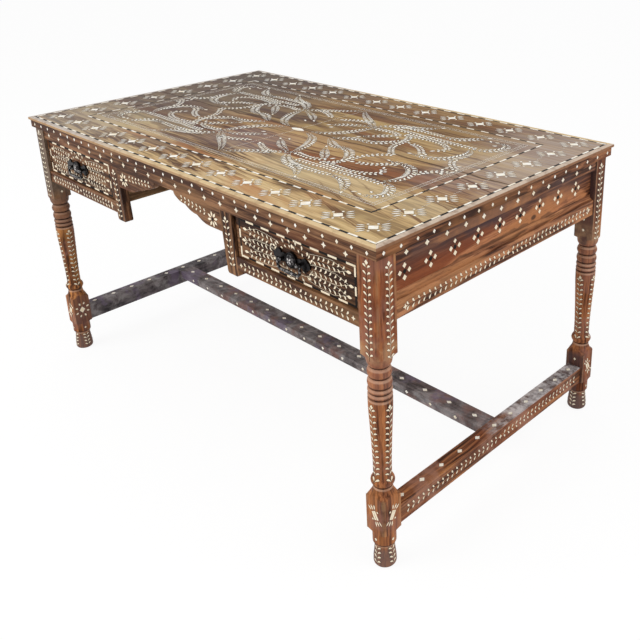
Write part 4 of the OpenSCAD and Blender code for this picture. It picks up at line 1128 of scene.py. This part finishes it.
class DESK_OT_legs(bpy.types.Operator):
    """Lay leaf columns, flowers and dots into the four legs"""

    bl_idname = "desk.legs"
    bl_label = "Leg inlay"

    def execute(self, context):
        for row, depth in (("front", -1), ("back", 1)):
            for side, hand in (("left", -1), ("right", 1)):
                name = f"leg_{row}_{side}"
                bone, black = inks(name)
                self.square_part(bone, black, hand, depth)
                for quarter in range(4):
                    part = Turned(name, (hand * LEG_X, depth * LEG_Y), quarter)
                    column(bone, part, (0, 216), (0, 409), 14.4, (12.6, 4.3, 105, 1.7), 1.0, 2.0, 8.5)
                    bone.stamp(diamond(7, 8), [(0, 76)], part, deep=0.3)
                    foot = np.array([(0, 12), (0, 45)])
                    bone.pairs(part, foot, (0, 11, 22, 33), leaf(12.0, 4.3, 100, 1.7), 1.0, 6.0)
                bone.make()
                black.make()
        return {"FINISHED"}

    def square_part(self, bone, black, hand, depth):
        """The four faces of one leg's blocks. Hand and depth are 1 to the right and to the back."""
        x, y, lean = hand * LEG_X, depth * LEG_Y, -27.0 * hand * depth
        outer = Side((0, (LEG_Y + HALF_LEG) * depth, 0), (-depth, 0, 0))
        u = -x * depth
        column(bone, outer, (u, 512), (u, 727))
        black.strip([(u, 514), (u, 716)], 0.7, outer, lay=0.08)
        block_flower(bone, outer, u, lean)
        sideways = end((LEG_X + HALF_LEG) * hand)
        u = hand * (384.0 if depth > 0 else -380.7)
        column(bone, sideways, (u, 512), (u, 721))
        bone.strip([(u, 516), (u, 710)], 0.6, sideways, lay=0.08)
        block_flower(bone, sideways, y * hand, -lean)
        inner = Side((0, (LEG_Y - HALF_LEG) * depth, 0), (depth, 0, 0))
        bone.stamp(diamond(7.5, 8.5), [(x * depth, z) for z in (574, 544, 162)], inner)
        within = Side(((LEG_X - HALF_LEG) * hand, 0, 0), (0, -hand, 0))
        u = -y * hand
        bone.stamp(diamond(7.5, 8.5), [(u, 566), (u, 540)], within)
        bone.stamp(diamond(19.0, 22.0), [(u, BLOCK)], within)
        bone.stamp(almond(9.5, 5.4), rayed(u, BLOCK, 8, 14.0, 17.0, math.pi / 8), within)


class DESK_OT_ends(bpy.types.Operator):
    """Lay diamonds, flowers and leaf bands into both ends and the back"""

    bl_idname = "desk.ends"
    bl_label = "End and back inlay"

    def execute(self, context):
        flower = np.array([(13.5, 0), (-13.5, 0), (0, 13.5), (0, -13.5)])

        def panels(name, edge, rail, panel, edge_u, rail_u, flower_u, low, high):
            bone, black = inks(name)
            bone.stamp(diamond(8.0, 9.5), [(u, EDGE_ROW) for u in edge_u], edge)
            bone.stamp(star(4, 6.6, 4.0), [(u, 726.0) for u in rail_u], rail)
            for u in flower_u:
                bone.stamp(diamond(11.5, 12.5), flower + (u, 679), panel)
                black.stamp(star(6, 5.0, 4.4), [(u, 679)], panel)
            leaf_band(bone, rail, low, (low + high) / 2, high, 611, 16.5, (7.0, 2.8))
            bone.make()
            black.make()

        for hand, name in ((1, "end_right"), (-1, "end_left")):
            panels(name, *(end(x * hand) for x in (EDGE_X, RAIL_X, PANEL_X)), np.linspace(-399, 399, 18) * hand,
                   np.linspace(-329, 334, 12) * hand, np.linspace(-322, 292, 9) * hand, -334 * hand, 341 * hand)
        panels("back", *(back(y) for y in (EDGE_Y, RAIL_Y, PANEL_Y)), np.linspace(-690, 690, 35),
               np.linspace(-620, 620, 21), np.linspace(-600, 600, 16), -630, 630)
        return {"FINISHED"}


class DESK_OT_stretchers(bpy.types.Operator):
    """Lay leaf bands and diamonds into the stretchers"""

    bl_idname = "desk.stretchers"
    bl_label = "Stretcher inlay"

    def execute(self, context):
        leaves, pale = Inlay("stretcher_leaves_bone"), Inlay("stretcher_bone", "pale bone")
        flat = level(142.0)
        for hand in (1, -1):
            leaf_band(leaves, end(702.0 * hand), -342, 0, 342, 118, 16.5, (7.0, 2.8), stars=(0,))
            pale.stamp(diamond(13, 16), [(683 * hand, y) for y in np.linspace(-332, 332, 11)], flat)
        row = np.linspace(-622, 622, 16)
        pale.stamp(diamond(17, 13), [(x, 0) for x in row], flat)
        for face in (front(-26.0), back(26.0)):
            pale.stamp(diamond(11, 10), [(x, 130.5) for x in (row[1:] + row[:-1]) / 2], face)
        leaves.make()
        pale.make()
        return {"FINISHED"}


class DESK_OT_handles(bpy.types.Operator):
    """Add the star on the dome of each iron handle, painted near white as its glint"""

    bl_idname = "desk.handles"
    bl_label = "Handle stars"

    def execute(self, context):
        for hand, (_, _, x) in DRAWERS.items():
            # the star of each rosette, painted near white as its glint
            made = Inlay(f"handle_{hand}_star", "painted glint iron", f"drawer_{hand}")
            boss = Boss(f"handle_plate_{hand}", (x, HANDLE))
            made.stamp(almond(7.6, 3.3), rayed(0, 0, 4, 0.8, 0.8, math.pi / 4), boss, deep=0.3, jitter=0.0)
            made.make()
        return {"FINISHED"}


# Stage


class DESK_OT_stage(bpy.types.Operator):
    """Add the floor, the lamps, the surroundings and the camera"""

    bl_idname = "desk.stage"
    bl_label = "Stage"

    def execute(self, context):
        scene, stage = context.scene, context.scene.desk_stage
        self.floor(stage)
        self.surroundings(scene, stage)
        for name, power, at, size in (("key_lamp", stage.key, (-1.2, -3.2, 3.0), 2.6),
                                      ("fill_lamp", stage.fill, (3.0, 0.6, 2.4), 2.4)):
            lamp = bpy.data.lights.new(name, "AREA")
            lamp.energy, lamp.size = power, size
            away = (Vector(at) - Vector((0, 0, 0.45))).to_track_quat("Z", "Y")
            placed(name, lamp).matrix_world = Matrix.Translation(at) @ away.to_matrix().to_4x4()
        camera = bpy.data.cameras.new("photo_camera")
        camera.lens, camera.sensor_width = stage.lens, 36.0
        camera.shift_x, camera.shift_y = -0.125, -0.1875
        camera.clip_start, camera.clip_end = 0.01, 200.0
        scene.camera = placed("photo_camera", camera)
        # turned by its yaw to the left of the desk's depth, tipped down from level, and rolled about its own view
        turns = ((43.6056, "Z"), (90 - 20.742, "X"), (-1.0687, "Z"))
        yaw, pitch, roll = (Matrix.Rotation(math.radians(angle), 4, axis) for angle, axis in turns)
        scene.camera.matrix_world = Matrix.Translation((1.6797, -1.366, 1.3705)) @ yaw @ pitch @ roll
        scene.view_settings.view_transform = "Standard"
        return {"FINISHED"}

    def floor(self, stage):
        """A wide flat grid at height 0, seen as white with the desk's shadow on it."""
        cells = 12
        row = cells + 1
        x, y = np.meshgrid(*[np.linspace(-30.0, 30.0, row)] * 2)
        i, j = np.meshgrid(np.arange(cells), np.arange(cells), indexing="ij")
        corner = i * row + j
        quads = np.stack([corner, corner + 1, corner + row + 1, corner + row], -1).reshape(-1, 4)
        mesh = bpy.data.meshes.new("floor")
        mesh.from_pydata(np.c_[x.ravel(), y.ravel(), np.zeros(x.size)].tolist(), [], quads.tolist())
        material, place = blank("pale floor")
        white = tinted(stage.floor)
        speck = place.noise(3.0, 3.0).tint(white, tinted(white, (0.985, 0.985, 0.985)))
        lit = place.node("ShaderNodeBsdfDiffuse", {"Color": speck})
        plain = place.node("ShaderNodeEmission", {"Color": (1, 1, 1, 1), "Strength": 1.03})
        seen, glossy = (place.node("ShaderNodeLightPath", {}, out=f"Is {kind} Ray") for kind in ("Camera", "Glossy"))
        ended(place, place.node("ShaderNodeMixShader", {0: (seen + glossy) * 0.88, 1: lit, 2: plain}))
        mesh.materials.append(material)
        placed("floor", mesh)

    def surroundings(self, scene, stage):
        """White for the camera and in reflections, a softer white as light."""
        world = bpy.data.worlds.new("soft room")
        world.use_nodes = True
        world.node_tree.nodes.clear()
        path = world.node_tree.nodes.new("ShaderNodeLightPath")
        seen, glossy = Wire(path.outputs["Is Camera Ray"]), Wire(path.outputs["Is Glossy Ray"])
        light, white = (seen.node("ShaderNodeBackground", {"Color": (1, 1, 1, 1), "Strength": strength})
                        for strength in (stage.sky, 1.0))
        shader = seen.node("ShaderNodeMixShader", {0: seen.maths("MAXIMUM", seen, glossy), 1: light, 2: white})
        output = world.node_tree.nodes.new("ShaderNodeOutputWorld")
        world.node_tree.links.new(shader.socket, output.inputs["Surface"])
        scene.world = world


STEPS = (DESK_OT_wood, DESK_OT_top_borders, DESK_OT_arabesque, DESK_OT_front, DESK_OT_drawers, DESK_OT_legs,
         DESK_OT_ends, DESK_OT_stretchers, DESK_OT_handles, DESK_OT_stage)
GROUPS = {"desk_wood": DeskWood, "desk_inlay": DeskInlay, "desk_iron": DeskIron, "desk_stage": DeskStage}


class DESK_PT_panel(bpy.types.Panel):
    """The desk's settings and steps"""

    bl_idname = "DESK_PT_panel"
    bl_label = "Writing desk"
    bl_space_type = "VIEW_3D"
    bl_region_type = "UI"
    bl_category = "Desk"

    def draw(self, context):
        for key, group in GROUPS.items():
            box = self.layout.box()
            for setting in group.__annotations__:
                box.prop(getattr(context.scene, key), setting)
        for step in STEPS:
            self.layout.operator(step.bl_idname)


def register():
    for group in (*GROUPS.values(), *STEPS, DESK_PT_panel):
        bpy.utils.register_class(group)
    for key, group in GROUPS.items():
        setattr(bpy.types.Scene, key, PointerProperty(type=group))


def unregister():
    for key in GROUPS:
        delattr(bpy.types.Scene, key)
    for group in (DESK_PT_panel, *reversed(STEPS), *reversed(GROUPS.values())):
        bpy.utils.unregister_class(group)


def main():
    register()
    for step in STEPS:
        getattr(bpy.ops.desk, step.bl_idname.split(".")[1])()


if __name__ == "__main__":
    main()
